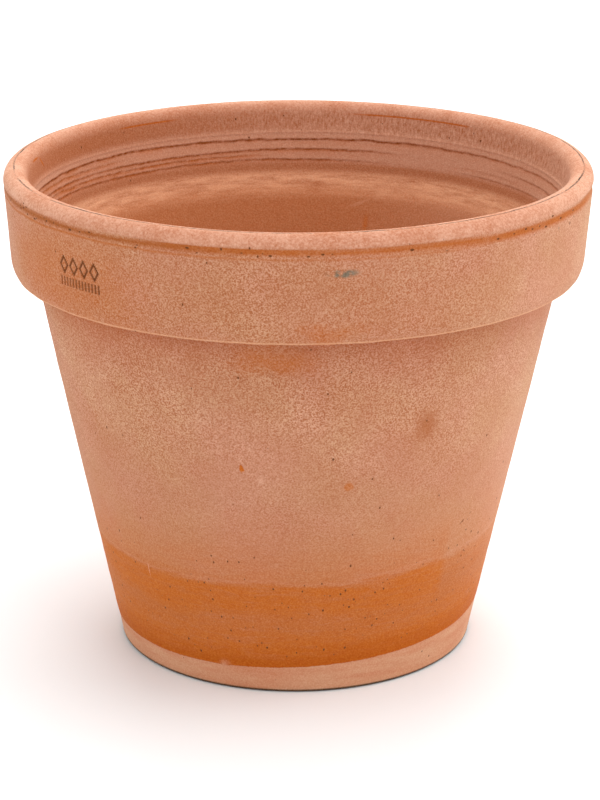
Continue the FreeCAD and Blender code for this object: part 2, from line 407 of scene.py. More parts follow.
def pot_rows(shape, mark):
    """The section as rows: place, outward normal, length along it and corner index.

    Rows are spaced by how much happens there: a base density, more where the outline bends (one row per
    few degrees), and more on the mark, the lip, the mouth's rings and the edge of the foot band.
    """
    points, bend, corner = rounded_outline(*pot_corners(shape), 160)
    closed = np.vstack([points, points[:1]])
    step = np.linalg.norm(np.diff(closed, axis=0), axis=1)
    along = np.concatenate([[0.0], np.cumsum(step)])
    tangent = (np.roll(points, -1, 0) - np.roll(points, 1, 0)).T
    normal = np.stack([tangent[1], -tangent[0]], 1)
    normal /= np.linalg.norm(normal, axis=1)[:, None]

    height = points[:, 1]
    reach = (mark.lozenge + mark.gap + mark.bar) / 2 + mark.stroke
    plain_step, bend_step = 4.5 * MM, math.radians(14)
    density = 1 / plain_step + bend / bend_step
    on_mark = smooth(reach + MM - np.abs(height - mark.height), 0, MM)
    density += (corner == RIM_BEVEL) * (0.5 / MM + 2.6 / MM * on_mark)
    density += np.isin(corner, (LIP_OUT, LIP_IN)) * (height > shape.height - 7 * MM) * 0.6 / MM
    in_mouth = (corner == LIP_IN) * (height > shape.ledge_top + MM)
    density += in_mouth * (0.35 + 2.0 * within(height, RING_ROWS)) / MM
    density += (corner == FOOT) * hump(height, 11.5 * MM, 3 * MM) * 0.8 / MM
    rows = even_steps(along, np.append(density, density[0]), shape.rows)

    def at_rows(values):
        return np.interp(rows, along, np.append(values, values[0]))

    index = np.minimum(np.searchsorted(along, rows, side="right") - 1, len(corner) - 1)
    place = np.stack([at_rows(points[:, 0]), at_rows(points[:, 1])])
    outward = np.stack([at_rows(normal[:, 0]), at_rows(normal[:, 1])])
    return place, outward / np.linalg.norm(outward, axis=0), rows, corner[index], along[-1]


def pot_columns(shape, mark):
    """Angles of the grid's columns, closer together across the mark and the clay crumb on the foot."""
    angle = np.linspace(-np.pi, np.pi, 7201)
    half = (mark.width / 2 + MM) / shape.lip_radius
    across = smooth(half + 0.01 - np.abs(angle - mark.angle), 0, 0.01)
    density = 1 + 4.6 * across + 2.2 * hump(angle, CRUMB_ANGLE, 0.035)
    return even_steps(angle, density, shape.columns)


def pressed_mark(mark, across, up):
    """How far the mark is pressed in, 0 to 1, at a place across and up from its middle.

    A lozenge's line is where |across| / half width + |up| / half height is near 1. A bar is a short
    upright strip. Both repeat at an even pitch.
    """
    total = mark.lozenge + mark.gap + mark.bar
    lozenge_up = up - (total - mark.lozenge) / 2
    pitch = mark.width / mark.lozenges
    local = (across + mark.width / 2) % pitch - pitch / 2
    half_wide, half_high = pitch * 0.36, mark.lozenge / 2
    slope = math.hypot(1 / half_wide, 1 / half_high)
    line = np.abs(np.abs(local) / half_wide + np.abs(lozenge_up) / half_high - 1) / slope
    lozenges = 1 - smooth(line, mark.stroke * 0.25, mark.stroke * 0.62)

    bar_up = up + (total - mark.bar) / 2
    pitch = mark.width / mark.bars
    local = (across + mark.width / 2) % pitch - pitch / 2
    tall = 1 - smooth(np.abs(bar_up), mark.bar / 2 - mark.stroke * 0.3, mark.bar / 2)
    bars = tall * (1 - smooth(np.abs(local), mark.stroke * 0.2, mark.stroke * 0.6))
    inside = np.abs(across) < mark.width / 2
    return np.maximum(lozenges, bars) * inside


def mouth_rings(angle, height):
    """Rings that the turning tool left inside the mouth: how deep, in metres, and how much soil and how
    much bare clay show, 0 to 1.

    Each ring is a ragged line with a step below it that is deepest at the line and dies away downwards
    as exp(-distance / RING_FADE). Its height wanders and its strength comes and goes round the pot. A
    fine ridge stands above them.
    """
    ridge = RIDGE_HEIGHT + waves(angle, seed=5, turns=9) * RIDGE_WANDER
    depth = -hump(height, ridge, RIDGE_WIDTH) * RIDGE_STANDS
    soil, bare = 0, 0
    for number, (line, deep, steady, ragged) in enumerate(RINGS):
        line = line + waves(angle, seed=20 + number, turns=6) * RING_WANDER
        line = line + waves(angle, seed=40 + number, turns=110, count=90) * ragged
        steady = steady + 1.1 * hump(turned(angle, RINGS_BARE_AT), 0, 0.65)
        strength = smooth(waves(angle, seed=60 + number, turns=5) + steady, -0.7, 0.5)
        strength = strength * (1 - 0.45 * hump(turned(angle, RINGS_WORN_AT), 0, 0.5))
        below = line - height
        step = smooth(below, *RING_STEP) * np.exp(-np.maximum(below, 0) / RING_FADE)
        depth = depth + strength * (deep * step - 0.25 * deep * hump(below, *PUSHED_UP))
        soil = soil + hump(below, *SOIL_LIES) * strength * math.sqrt(deep / RINGS[0][1])
        bare = bare + step * strength
    worn = 0.78 + 0.22 * hump(turned(angle, RINGS_BARE_AT), 0, 0.75)
    return depth, np.clip(soil * (0.25 + 0.6 * worn), 0, 1), np.clip(bare * worn, 0, 1)


def lip_hollow(angle, height):
    """The worn hollow under the lip, 0 to 1: a step down below the lip's roll that runs out below, after
    a span that grows from left to right as the sine of the angle."""
    edge = HOLLOW_TOP + waves(angle, seed=11, turns=8) * HOLLOW_WANDER
    span = HOLLOW_SPAN + HOLLOW_SPAN_CHANGE * np.sin(angle)
    under_edge = 1 - smooth(height, edge - HOLLOW_SOFT, edge)
    return under_edge * smooth(height, edge - span - HOLLOW_SOFT, edge - span + HOLLOW_SOFT)


def foot_band_edge(x, y):
    """Height of the pale foot band's upper edge: a plane that rises to the right and towards the back."""
    return WATERLINE + WATERLINE_SLOPE[0] * x + WATERLINE_SLOPE[1] * y


def displacement(shape, mark, angle, radius, height, along, corner, total):
    """How far each point stands out from the smooth section, in metres, with the shares that the
    material reads.

    The distance is a sum in which each effect counts only at its own place: unevenness that dies away
    at the foot's plane, turning marks on both walls, smear rings on the floor, the mouth's rings, the
    hollow under the lip, the rim's wavy edge, the foot band's step, a crumb of clay, the pressed mark
    and the drain hole's rough edge.
    """
    slow = waves(angle, along, seed=1, turns=5, rate=45) * SLOW_DEPTH
    quick = waves(angle, along, seed=2, turns=30, rate=420, count=40) * QUICK_DEPTH
    push = (slow + quick) * smooth(height, 0, 1.5 * MM)

    wall = (corner == FOOT) * within(height, WALL_BAND)
    turning = waves(angle, along * 4, seed=3, turns=2, rate=260, count=30)
    push = push + wall * turning * OUTER_TURNING
    inner_wall = (corner == LEDGE_EDGE) * smooth(height, 16 * MM, 24 * MM)
    push = push + inner_wall * turning * INNER_TURNING
    floor = np.isin(corner, (FLOOR, DRAIN_FOOT)) * within(radius, FLOOR_BAND)
    push = push + floor * np.cos(2 * np.pi * radius / SMEAR_PITCH + angle) * SMEAR_DEPTH

    mouth = (corner == LIP_IN) * within(height, MOUTH_BAND)
    rings, soil, bare = mouth_rings(angle, height)
    push = push - mouth * rings

    lip = np.isin(corner, (RIM_BEVEL, LIP_OUT)) * smooth(height, 168 * MM, 169 * MM) * (along < total * 0.62)
    hollow = lip * lip_hollow(angle, height)
    push = push - hollow * HOLLOW_DEPTH

    edge = hump(height, shape.rim_bottom, 1.2 * MM) * np.isin(corner, (RIM_EDGE, RIM_BEVEL))
    push = push + edge * waves(angle, seed=12, turns=60, count=50) * RIM_WAVER

    x, y = radius * np.sin(angle), -radius * np.cos(angle)
    below = (corner == FOOT) * (1 - smooth(height - foot_band_edge(x, y), -0.35 * MM, 0.1 * MM))
    push = push - below * BAND_STEP * smooth(height, 0.5 * MM, 2 * MM)

    crumb_across = (angle - CRUMB_ANGLE) * radius
    crumb = (corner == FOOT) * hump(crumb_across, 0, CRUMB_WIDE)
    crumb = crumb * hump(height, CRUMB_HEIGHT, CRUMB_HIGH)
    push = push + crumb * CRUMB_STANDS

    across = (angle - mark.angle) * (shape.lip_radius - MM)
    pressed = (corner == RIM_BEVEL) * pressed_mark(mark, across, height - mark.height)
    push = push - pressed * mark.depth

    drain = np.isin(corner, (DRAIN_TOP, DRAIN_FOOT)) * (1 - smooth(radius, 12.5 * MM, 18 * MM))
    push = push + drain * waves(angle, along, seed=14, turns=9, rate=90) * DRAIN_ROUGH
    shares = {
        "pressed": pressed, "soil": mouth * soil, "bare": mouth * bare, "hollow": hollow, "crumb": crumb,
    }
    return push, shares


def pot_surface(shape, mark):
    """The pot's grid: points (rows, columns, 3) and the shares that its material reads.

    A point is the section's place, pushed along the section's own normal, carried round by its column's
    angle, made slightly out of round (two and three waves round the pot, more towards the lip) and
    moved sideways in step with its height, which is the lean.
    """
    place, outward, rows, corner, total = pot_rows(shape, mark)
    angle = pot_columns(shape, mark)[None, :]
    radius, height = place[0][:, None], place[1][:, None]
    along, corner = rows[:, None], corner[:, None]
    push, shares = displacement(shape, mark, angle, radius, height, along, corner, total)

    out = radius + outward[0][:, None] * push
    up = height + outward[1][:, None] * push
    high = 0.4 + 0.6 * height / shape.height
    oval = OVAL_TWO * np.cos(2 * angle + 1.1) + OVAL_THREE * np.cos(3 * angle - 0.4)
    out = out + oval * high
    lean = shape.lean * height / shape.height
    points = np.stack([out * np.sin(angle) + lean, -out * np.cos(angle), up + 0 * angle], -1)

    lip_top = rows[np.argmax(place[1])]
    foot = rows[np.flatnonzero(corner[:, 0] == FOOT)[0]]
    lip_blend, drain_blend, foot_blend = 9 * MM, 6 * MM, 2.5 * MM
    inside = smooth(along, lip_top, lip_top + lip_blend) * smooth(total - along, 0, drain_blend)
    under = 1 - smooth(along, foot - foot_blend, foot)
    shares["inside"] = inside + 0 * angle
    shares["under"] = under + 0 * angle
    return points, shares


def grid_mesh(name, points, closed_rows, closed_columns):
    """A mesh of four-sided faces over a grid of points, joined up across each closed direction."""
    rows, columns = points.shape[:2]
    number = np.arange(rows * columns).reshape(rows, columns)
    if closed_rows:
        number = np.vstack([number, number[:1]])
    if closed_columns:
        number = np.hstack([number, number[:, :1]])
    faces = np.stack([number[:-1, :-1], number[:-1, 1:], number[1:, 1:], number[1:, :-1]], -1).reshape(-1, 4)
    mesh = bpy.data.meshes.new(name)
    mesh.vertices.add(rows * columns)
    mesh.vertices.foreach_set("co", points.reshape(-1).astype(np.float32))
    mesh.loops.add(faces.size)
    mesh.loops.foreach_set("vertex_index", faces.reshape(-1).astype(np.int32))
    mesh.polygons.add(len(faces))
    mesh.polygons.foreach_set("loop_start", np.arange(0, faces.size, 4, dtype=np.int32))
    mesh.polygons.foreach_set("loop_total", np.full(len(faces), 4, dtype=np.int32))
    mesh.update(calc_edges=True)
    mesh.polygons.foreach_set("use_smooth", np.ones(len(faces), dtype=bool))
    return mesh


def add_object(name, mesh, material):
    """An object for the mesh at the origin, in the scene's own collection."""
    thing = bpy.data.objects.new(name, mesh)
    thing.data.materials.append(material)
    bpy.context.scene.collection.objects.link(thing)
    return thing


def set_stops(ramp, stops):
    """Gives a grey colour ramp its stops, each a position and a strength."""
    elements = ramp.color_ramp.elements
    first, *between, last = stops
    for element, (position, strength) in zip(elements, (first, last)):
        element.position, element.color = position, (strength, strength, strength, 1)
    for position, strength in between:
        elements.new(position).color = (strength, strength, strength, 1)


def arrange(tree, title, *columns):
    """Puts a titled frame round the nodes, in columns from left to right, below the frames there are."""
    placed = [node.location.y for node in tree.nodes if node.parent]
    top = min(placed, default=0) - FRAME_GAP
    frame = tree.nodes.new("NodeFrame")
    frame.label = title
    for step, column in enumerate(columns):
        for row, node in enumerate(column):
            node.parent = frame
            node.location = (step * COLUMN_STEP, top - row * ROW_STEP)


def read_place(tree):
    """Where a point lies: its place and how far across it is, in metres; its height, its radius from the
    leaning axis and its height over the tilted waterline, in millimetres; its height as a share of the
    pot's; its angle from the front, also as a share of a whole turn; and the outer wall rolled out flat."""
    nodes, links = tree.nodes, tree.links
    spot = nodes.new("ShaderNodeTexCoord")
    spot.label = "Place on the pot"
    parts = nodes.new("ShaderNodeSeparateXYZ")
    parts.label = "Across, back and up"
    height = nodes.new("ShaderNodeMath")
    height.label = "Height in mm"
    level = nodes.new("ShaderNodeMath")
    level.label = "Height as a share"
    front = nodes.new("ShaderNodeMath")
    front.label = "Towards the front"
    angle = nodes.new("ShaderNodeMath")
    angle.label = "Angle from the front"
    turn = nodes.new("ShaderNodeMapRange")
    turn.label = "Way round as a share"
    way = nodes.new("ShaderNodeMath")
    way.label = "Way round in mm"
    unrolled = nodes.new("ShaderNodeCombineXYZ")
    unrolled.label = "Wall rolled out flat"
    flat = nodes.new("ShaderNodeVectorMath")
    flat.label = "Place in mm with no height"
    upright = nodes.new("ShaderNodeVectorMath")
    upright.label = "Place as if the pot stood straight"
    radius = nodes.new("ShaderNodeVectorMath")
    radius.label = "Radius in mm"
    tilted = nodes.new("ShaderNodeVectorMath")
    tilted.label = "Height over the tilted waterline"
    arrange(
        tree, "Place on the pot",
        [spot], [parts, flat, tilted], [height, front], [angle, upright, level],
        [way, radius, turn], [unrolled],
    )

    for product in (height, front, way):
        product.operation = "MULTIPLY"
    height.inputs[1].default_value = 1 / MM
    level.operation = "DIVIDE"
    level.inputs[1].default_value = POT_HIGH.z / MM
    front.inputs[1].default_value = -1
    angle.operation = "ARCTAN2"
    turn.inputs["From Min"].default_value = -math.pi
    turn.inputs["From Max"].default_value = math.pi
    way.inputs[1].default_value = WALL_RADIUS / MM
    flat.operation = "MULTIPLY"
    flat.inputs[1].default_value = (1 / MM, 1 / MM, 0)
    upright.operation = "MULTIPLY_ADD"
    upright.inputs[1].default_value = (-LEAN / POT_HIGH.z, 0, 0)
    radius.operation = "LENGTH"
    tilted.operation = "DOT_PRODUCT"
    tilted.inputs[1].default_value = (-WATERLINE_SLOPE[0] / MM, -WATERLINE_SLOPE[1] / MM, 1 / MM)

    links.new(spot.outputs["Object"], parts.inputs["Vector"])
    links.new(spot.outputs["Object"], flat.inputs[0])
    links.new(spot.outputs["Object"], tilted.inputs[0])
    links.new(height.outputs["Value"], upright.inputs[0])
    links.new(flat.outputs["Vector"], upright.inputs[2])
    links.new(upright.outputs["Vector"], radius.inputs[0])
    links.new(parts.outputs["Z"], height.inputs[0])
    links.new(parts.outputs["Y"], front.inputs[0])
    links.new(parts.outputs["X"], angle.inputs[0])
    links.new(front.outputs["Value"], angle.inputs[1])
    links.new(height.outputs["Value"], level.inputs[0])
    links.new(angle.outputs["Value"], turn.inputs["Value"])
    links.new(angle.outputs["Value"], way.inputs[0])
    links.new(way.outputs["Value"], unrolled.inputs["X"])
    links.new(height.outputs["Value"], unrolled.inputs["Y"])
    return {
        "spot": spot.outputs["Object"],
        "across": parts.outputs["X"],
        "height": height.outputs["Value"],
        "level": level.outputs["Value"],
        "radius": radius.outputs["Value"],
        "turn": turn.outputs["Result"],
        "tilted": tilted.outputs["Value"],
        "unrolled": unrolled.outputs["Vector"],
    }


def soft_ovals(tree, spread_out, ovals):
    """Soft ovals on the rolled-out wall. Each row of ovals gives its name, angle from the front in
    degrees, height, half width and half height in millimetres, lean in degrees, the distances (in half
    widths) up to which it is full and at which it is gone, and its strength. Returns the nodes in
    columns: places, distances and strengths."""
    nodes, links = tree.nodes, tree.links
    spots, distances, shares = [], [], []
    for name, angle, height, wide, high, lean, full, gone, strength in ovals:
        spot = nodes.new("ShaderNodeMapping")
        spot.label = f"Place of the {name}"
        distance = nodes.new("ShaderNodeVectorMath")
        distance.label = f"Distance from the {name}"
        share = nodes.new("ShaderNodeMapRange")
        share.label = name.capitalize()

        spot.vector_type = "TEXTURE"
        spot.inputs["Location"].default_value = (math.radians(angle) * WALL_RADIUS / MM, height, 0)
        spot.inputs["Rotation"].default_value = (0, 0, math.radians(lean))
        spot.inputs["Scale"].default_value = (wide, high, 1)
        distance.operation = "LENGTH"
        share.interpolation_type = "SMOOTHSTEP"
        for end, value in zip(RANGE_ENDS, (full, gone, strength, 0)):
            share.inputs[end].default_value = value

        links.new(spread_out, spot.inputs["Vector"])
        links.new(spot.outputs["Vector"], distance.inputs[0])
        links.new(distance.outputs["Value"], share.inputs["Value"])
        spots.append(spot)
        distances.append(distance)
        shares.append(share)
    return spots, distances, shares


def clay_tone(tree, place, finish):
    """Fired clay that drifts between a pinker and a more ochre tone, with redder clouds in it, and a band
    under the rim turned ochre and redder: partly warmer clay, partly painted shade under the overhang.
    """
    nodes, links = tree.nodes, tree.links
    drift = nodes.new("ShaderNodeTexNoise")
    drift.label = "Slow drift of tone"
    drift_share = nodes.new("ShaderNodeMapRange")
    drift_share.label = "How ochre the clay is"
    cloud = nodes.new("ShaderNodeTexNoise")
    cloud.label = "Clouds in the clay"
    cloud_share = nodes.new("ShaderNodeMapRange")
    cloud_share.label = "How red the clouds are"
    # Painted shade under the rim's overhang, and partly warmer clay there: a band by height that turns the
    # clay ochre and redder.
    shade_and_shelter = nodes.new("ShaderNodeValToRGB")
    shade_and_shelter.label = "Under the rim: painted shade and warmer clay"
    warm = nodes.new("ShaderNodeMath")
    warm.label = "Ochre or under the rim"
    redder = nodes.new("ShaderNodeMath")
    redder.label = "Redder clouds and painted shade under the rim"
    tone = nodes.new("ShaderNodeMix")
    tone.label = "Clay to ochre"
    clouded = nodes.new("ShaderNodeMix")
    clouded.label = "Redder clouds"
    arrange(
        tree, "Clay tone",
        [drift, cloud], [drift_share, cloud_share, shade_and_shelter], [warm, redder], [tone], [clouded],
    )

    for noise, *values in (
        (drift, 26, 3, 0.5),
        (cloud, 120, 5, 0.65),
    ):
        for setting, value in zip(NOISE_SETTINGS, values):
            noise.inputs[setting].default_value = value
    for ranged, *ends in (
        (drift_share, 0.36, 0.66, 0.25, 1),
        (cloud_share, 0.50, 0.72, 0, 0.55),
    ):
        for end, value in zip(RANGE_ENDS, ends):
            ranged.inputs[end].default_value = value
    # Band of painted shade under the rim, by height as a share of the pot's.
    set_stops(shade_and_shelter, ((0.62, 0), (0.72, 0.55), (0.77, 1.0), (0.787, 1.0), (0.793, 0)))
    warm.operation = "MAXIMUM"
    redder.operation = "MULTIPLY_ADD"
    redder.inputs[1].default_value = 0.45
    tone.data_type = "RGBA"
    tone.inputs[MIX_A].default_value = finish.clay
    tone.inputs[MIX_B].default_value = finish.ochre
    clouded.data_type = "RGBA"
    clouded.inputs[MIX_B].default_value = finish.rust

    links.new(place["spot"], drift.inputs["Vector"])
    links.new(place["spot"], cloud.inputs["Vector"])
    links.new(drift.outputs["Fac"], drift_share.inputs["Value"])
    links.new(cloud.outputs["Fac"], cloud_share.inputs["Value"])
    links.new(place["level"], shade_and_shelter.inputs["Fac"])
    links.new(drift_share.outputs["Result"], warm.inputs[0])
    links.new(shade_and_shelter.outputs["Color"], warm.inputs[1])
    links.new(warm.outputs["Value"], tone.inputs[MIX_FACTOR])
    links.new(shade_and_shelter.outputs["Color"], redder.inputs[0])
    links.new(cloud_share.outputs["Result"], redder.inputs[2])
    links.new(redder.outputs["Value"], clouded.inputs[MIX_FACTOR])
    links.new(tone.outputs[MIX_RESULT], clouded.inputs[MIX_A])
    return clouded.outputs[MIX_RESULT]


def warm_clouds(tree, place, finish, colour):
    """Larger warm clouds in the clay, each a soft ragged oval on the rolled-out wall: round the mark, at
    the rim's lower edge in front, and under the rim."""
    nodes, links = tree.nodes, tree.links
    ragged = nodes.new("ShaderNodeTexNoise")
    ragged.label = "Ragged cloud edges"
    push = nodes.new("ShaderNodeVectorMath")
    push.label = "Cloud edges pushed about"
    spots, distances, shares = soft_ovals(
        tree, push.outputs["Vector"],
        (
            ("cloud round the mark", -42, 163, 44, 21, 0, 0.2, 1.25, 0.9),
            ("cloud low on the rim", 14, 153.5, 15, 5, 0, 0.2, 1.25, 0.8),
            ("cloud under the rim", 3, 140.5, 16, 6.5, 0, 0.2, 1.25, 0.95),
        ),
    )
    round_mark, low_rim, under_rim = shares
    either = nodes.new("ShaderNodeMath")
    either.label = "Either rim cloud"
    any_cloud = nodes.new("ShaderNodeMath")
    any_cloud.label = "Any cloud"
    warmed = nodes.new("ShaderNodeMix")
    warmed.label = "Warm clouds in the clay"
    arrange(
        tree, "Warm clouds",
        [ragged], [push], spots, distances, shares, [either], [any_cloud], [warmed],
    )

    ragged.inputs["Scale"].default_value = 75
    ragged.inputs["Detail"].default_value = 5
    ragged.inputs["Roughness"].default_value = 0.6
    push.operation = "MULTIPLY_ADD"
    push.inputs[1].default_value = (26, 18, 0)
    for choice in (either, any_cloud):
        choice.operation = "MAXIMUM"
    warmed.data_type = "RGBA"
    warmed.inputs[MIX_B].default_value = finish.rubbed

    links.new(place["spot"], ragged.inputs["Vector"])
    links.new(ragged.outputs["Color"], push.inputs[0])
    links.new(place["unrolled"], push.inputs[2])
    links.new(round_mark.outputs["Result"], either.inputs[0])
    links.new(low_rim.outputs["Result"], either.inputs[1])
    links.new(either.outputs["Value"], any_cloud.inputs[0])
    links.new(under_rim.outputs["Result"], any_cloud.inputs[1])
    links.new(any_cloud.outputs["Value"], warmed.inputs[MIX_FACTOR])
    links.new(colour, warmed.inputs[MIX_A])
    return warmed.outputs[MIX_RESULT], any_cloud.outputs["Value"]


def mineral_bloom(tree, place, finish, colour, clouds):
    """Pale lime that has dried in fine worm-like ridges, thick on the upper wall and rim, thin under the
    rim's overhang and nearly gone towards the foot; and an even haze of lime, made paler towards the
    right as painted light."""
    nodes, links = tree.nodes, tree.links
    worms = nodes.new("ShaderNodeTexNoise")
    worms.label = "Worm-like ridges of lime"
    ridges = nodes.new("ShaderNodeMapRange")
    ridges.label = "Ridges stand clear"
    patches = nodes.new("ShaderNodeTexNoise")
    patches.label = "Where lime has gathered"
    gathered = nodes.new("ShaderNodeMapRange")
    gathered.label = "Thin to thick lime"
    heights = nodes.new("ShaderNodeValToRGB")
    heights.label = "Lime by height"
    thin = nodes.new("ShaderNodeMath")
    thin.label = "Less lime on warm clouds"
    spread = nodes.new("ShaderNodeMath")
    spread.label = "Lime gathered at this height"
    local = nodes.new("ShaderNodeMath")
    local.label = "Lime here"
    share = nodes.new("ShaderNodeMath")
    share.label = "Lime on ridges"
    tint_drift = nodes.new("ShaderNodeTexNoise")
    tint_drift.label = "Slow drift of the lime's tint"
    tint_share = nodes.new("ShaderNodeMapRange")
    tint_share.label = "Pink to tan lime"
    tint = nodes.new("ShaderNodeMix")
    tint.label = "Tint of the lime"
    haze = nodes.new("ShaderNodeValToRGB")
    haze.label = "Even haze by height"
    # Painted light: the haze grows towards the right side, where more light falls.
    side = nodes.new("ShaderNodeMapRange")
    side.label = "Painted light: paler towards the right"
    hazy = nodes.new("ShaderNodeMath")
    hazy.label = "Haze here"
    hazed = nodes.new("ShaderNodeMix")
    hazed.label = "Haze over the clay"
    limed = nodes.new("ShaderNodeMix")
    limed.label = "Lime over the clay"
    arrange(
        tree, "Mineral bloom",
        [worms, patches, tint_drift], [ridges, gathered, heights, tint_share],
        [spread, tint, haze, side], [thin, local], [share, hazy], [hazed], [limed],
    )

    for noise, *values in (
        (worms, 1800, 2, 0.55, 0.5),
        (patches, 48, 4, 0.6),
        (tint_drift, 33, 3, 0.5),
    ):
        for setting, value in zip(NOISE_SETTINGS, values):
            noise.inputs[setting].default_value = value
    for ranged, *ends in (
        (ridges, 0.40, 0.60, 0, 1),
        (gathered, 0.34, 0.66, 0.55, 1),
        # Painted light on the right: up to 0.18 more haze from 42 mm to 85 mm across.
        (side, 42 * MM, 85 * MM, 0, 0.18),
        (tint_share, 0.38, 0.62, 0, 1),
    ):
        for end, value in zip(RANGE_ENDS, ends):
            ranged.inputs[end].default_value = value
    for product in (spread, local, share):
        product.operation = "MULTIPLY"
    for mix in (hazed, tint, limed):
        mix.data_type = "RGBA"
    ridges.interpolation_type = "SMOOTHSTEP"
    set_stops(heights, LIME_BY_HEIGHT)
    thin.operation = "MULTIPLY_ADD"
    thin.inputs[1].default_value = -0.5
    thin.inputs[2].default_value = 1
    set_stops(haze, HAZE_BY_HEIGHT)
    side.interpolation_type = "SMOOTHSTEP"
    hazy.operation = "ADD"
    tint.inputs[MIX_A].default_value = finish.bloom
    tint.inputs[MIX_B].default_value = finish.tan

    for pattern in (worms, patches, tint_drift):
        links.new(place["spot"], pattern.inputs["Vector"])
    links.new(worms.outputs["Fac"], ridges.inputs["Value"])
    links.new(patches.outputs["Fac"], gathered.inputs["Value"])
    links.new(place["level"], heights.inputs["Fac"])
    links.new(gathered.outputs["Result"], spread.inputs[0])
    links.new(heights.outputs["Color"], spread.inputs[1])
    links.new(clouds, thin.inputs[0])
    links.new(spread.outputs["Value"], local.inputs[0])
    links.new(thin.outputs["Value"], local.inputs[1])
    links.new(ridges.outputs["Result"], share.inputs[0])
    links.new(local.outputs["Value"], share.inputs[1])
    links.new(tint_drift.outputs["Fac"], tint_share.inputs["Value"])
    links.new(tint_share.outputs["Result"], tint.inputs[MIX_FACTOR])
    links.new(place["level"], haze.inputs["Fac"])
    links.new(place["across"], side.inputs["Value"])
    links.new(haze.outputs["Color"], hazy.inputs[0])
    links.new(side.outputs["Result"], hazy.inputs[1])
    links.new(hazy.outputs["Value"], hazed.inputs[MIX_FACTOR])
    links.new(colour, hazed.inputs[MIX_A])
    links.new(tint.outputs[MIX_RESULT], hazed.inputs[MIX_B])
    links.new(share.outputs["Value"], limed.inputs[MIX_FACTOR])
    links.new(hazed.outputs[MIX_RESULT], limed.inputs[MIX_A])
    links.new(tint.outputs[MIX_RESULT], limed.inputs[MIX_B])
    return limed.outputs[MIX_RESULT], worms.outputs["Fac"], local.outputs["Value"]


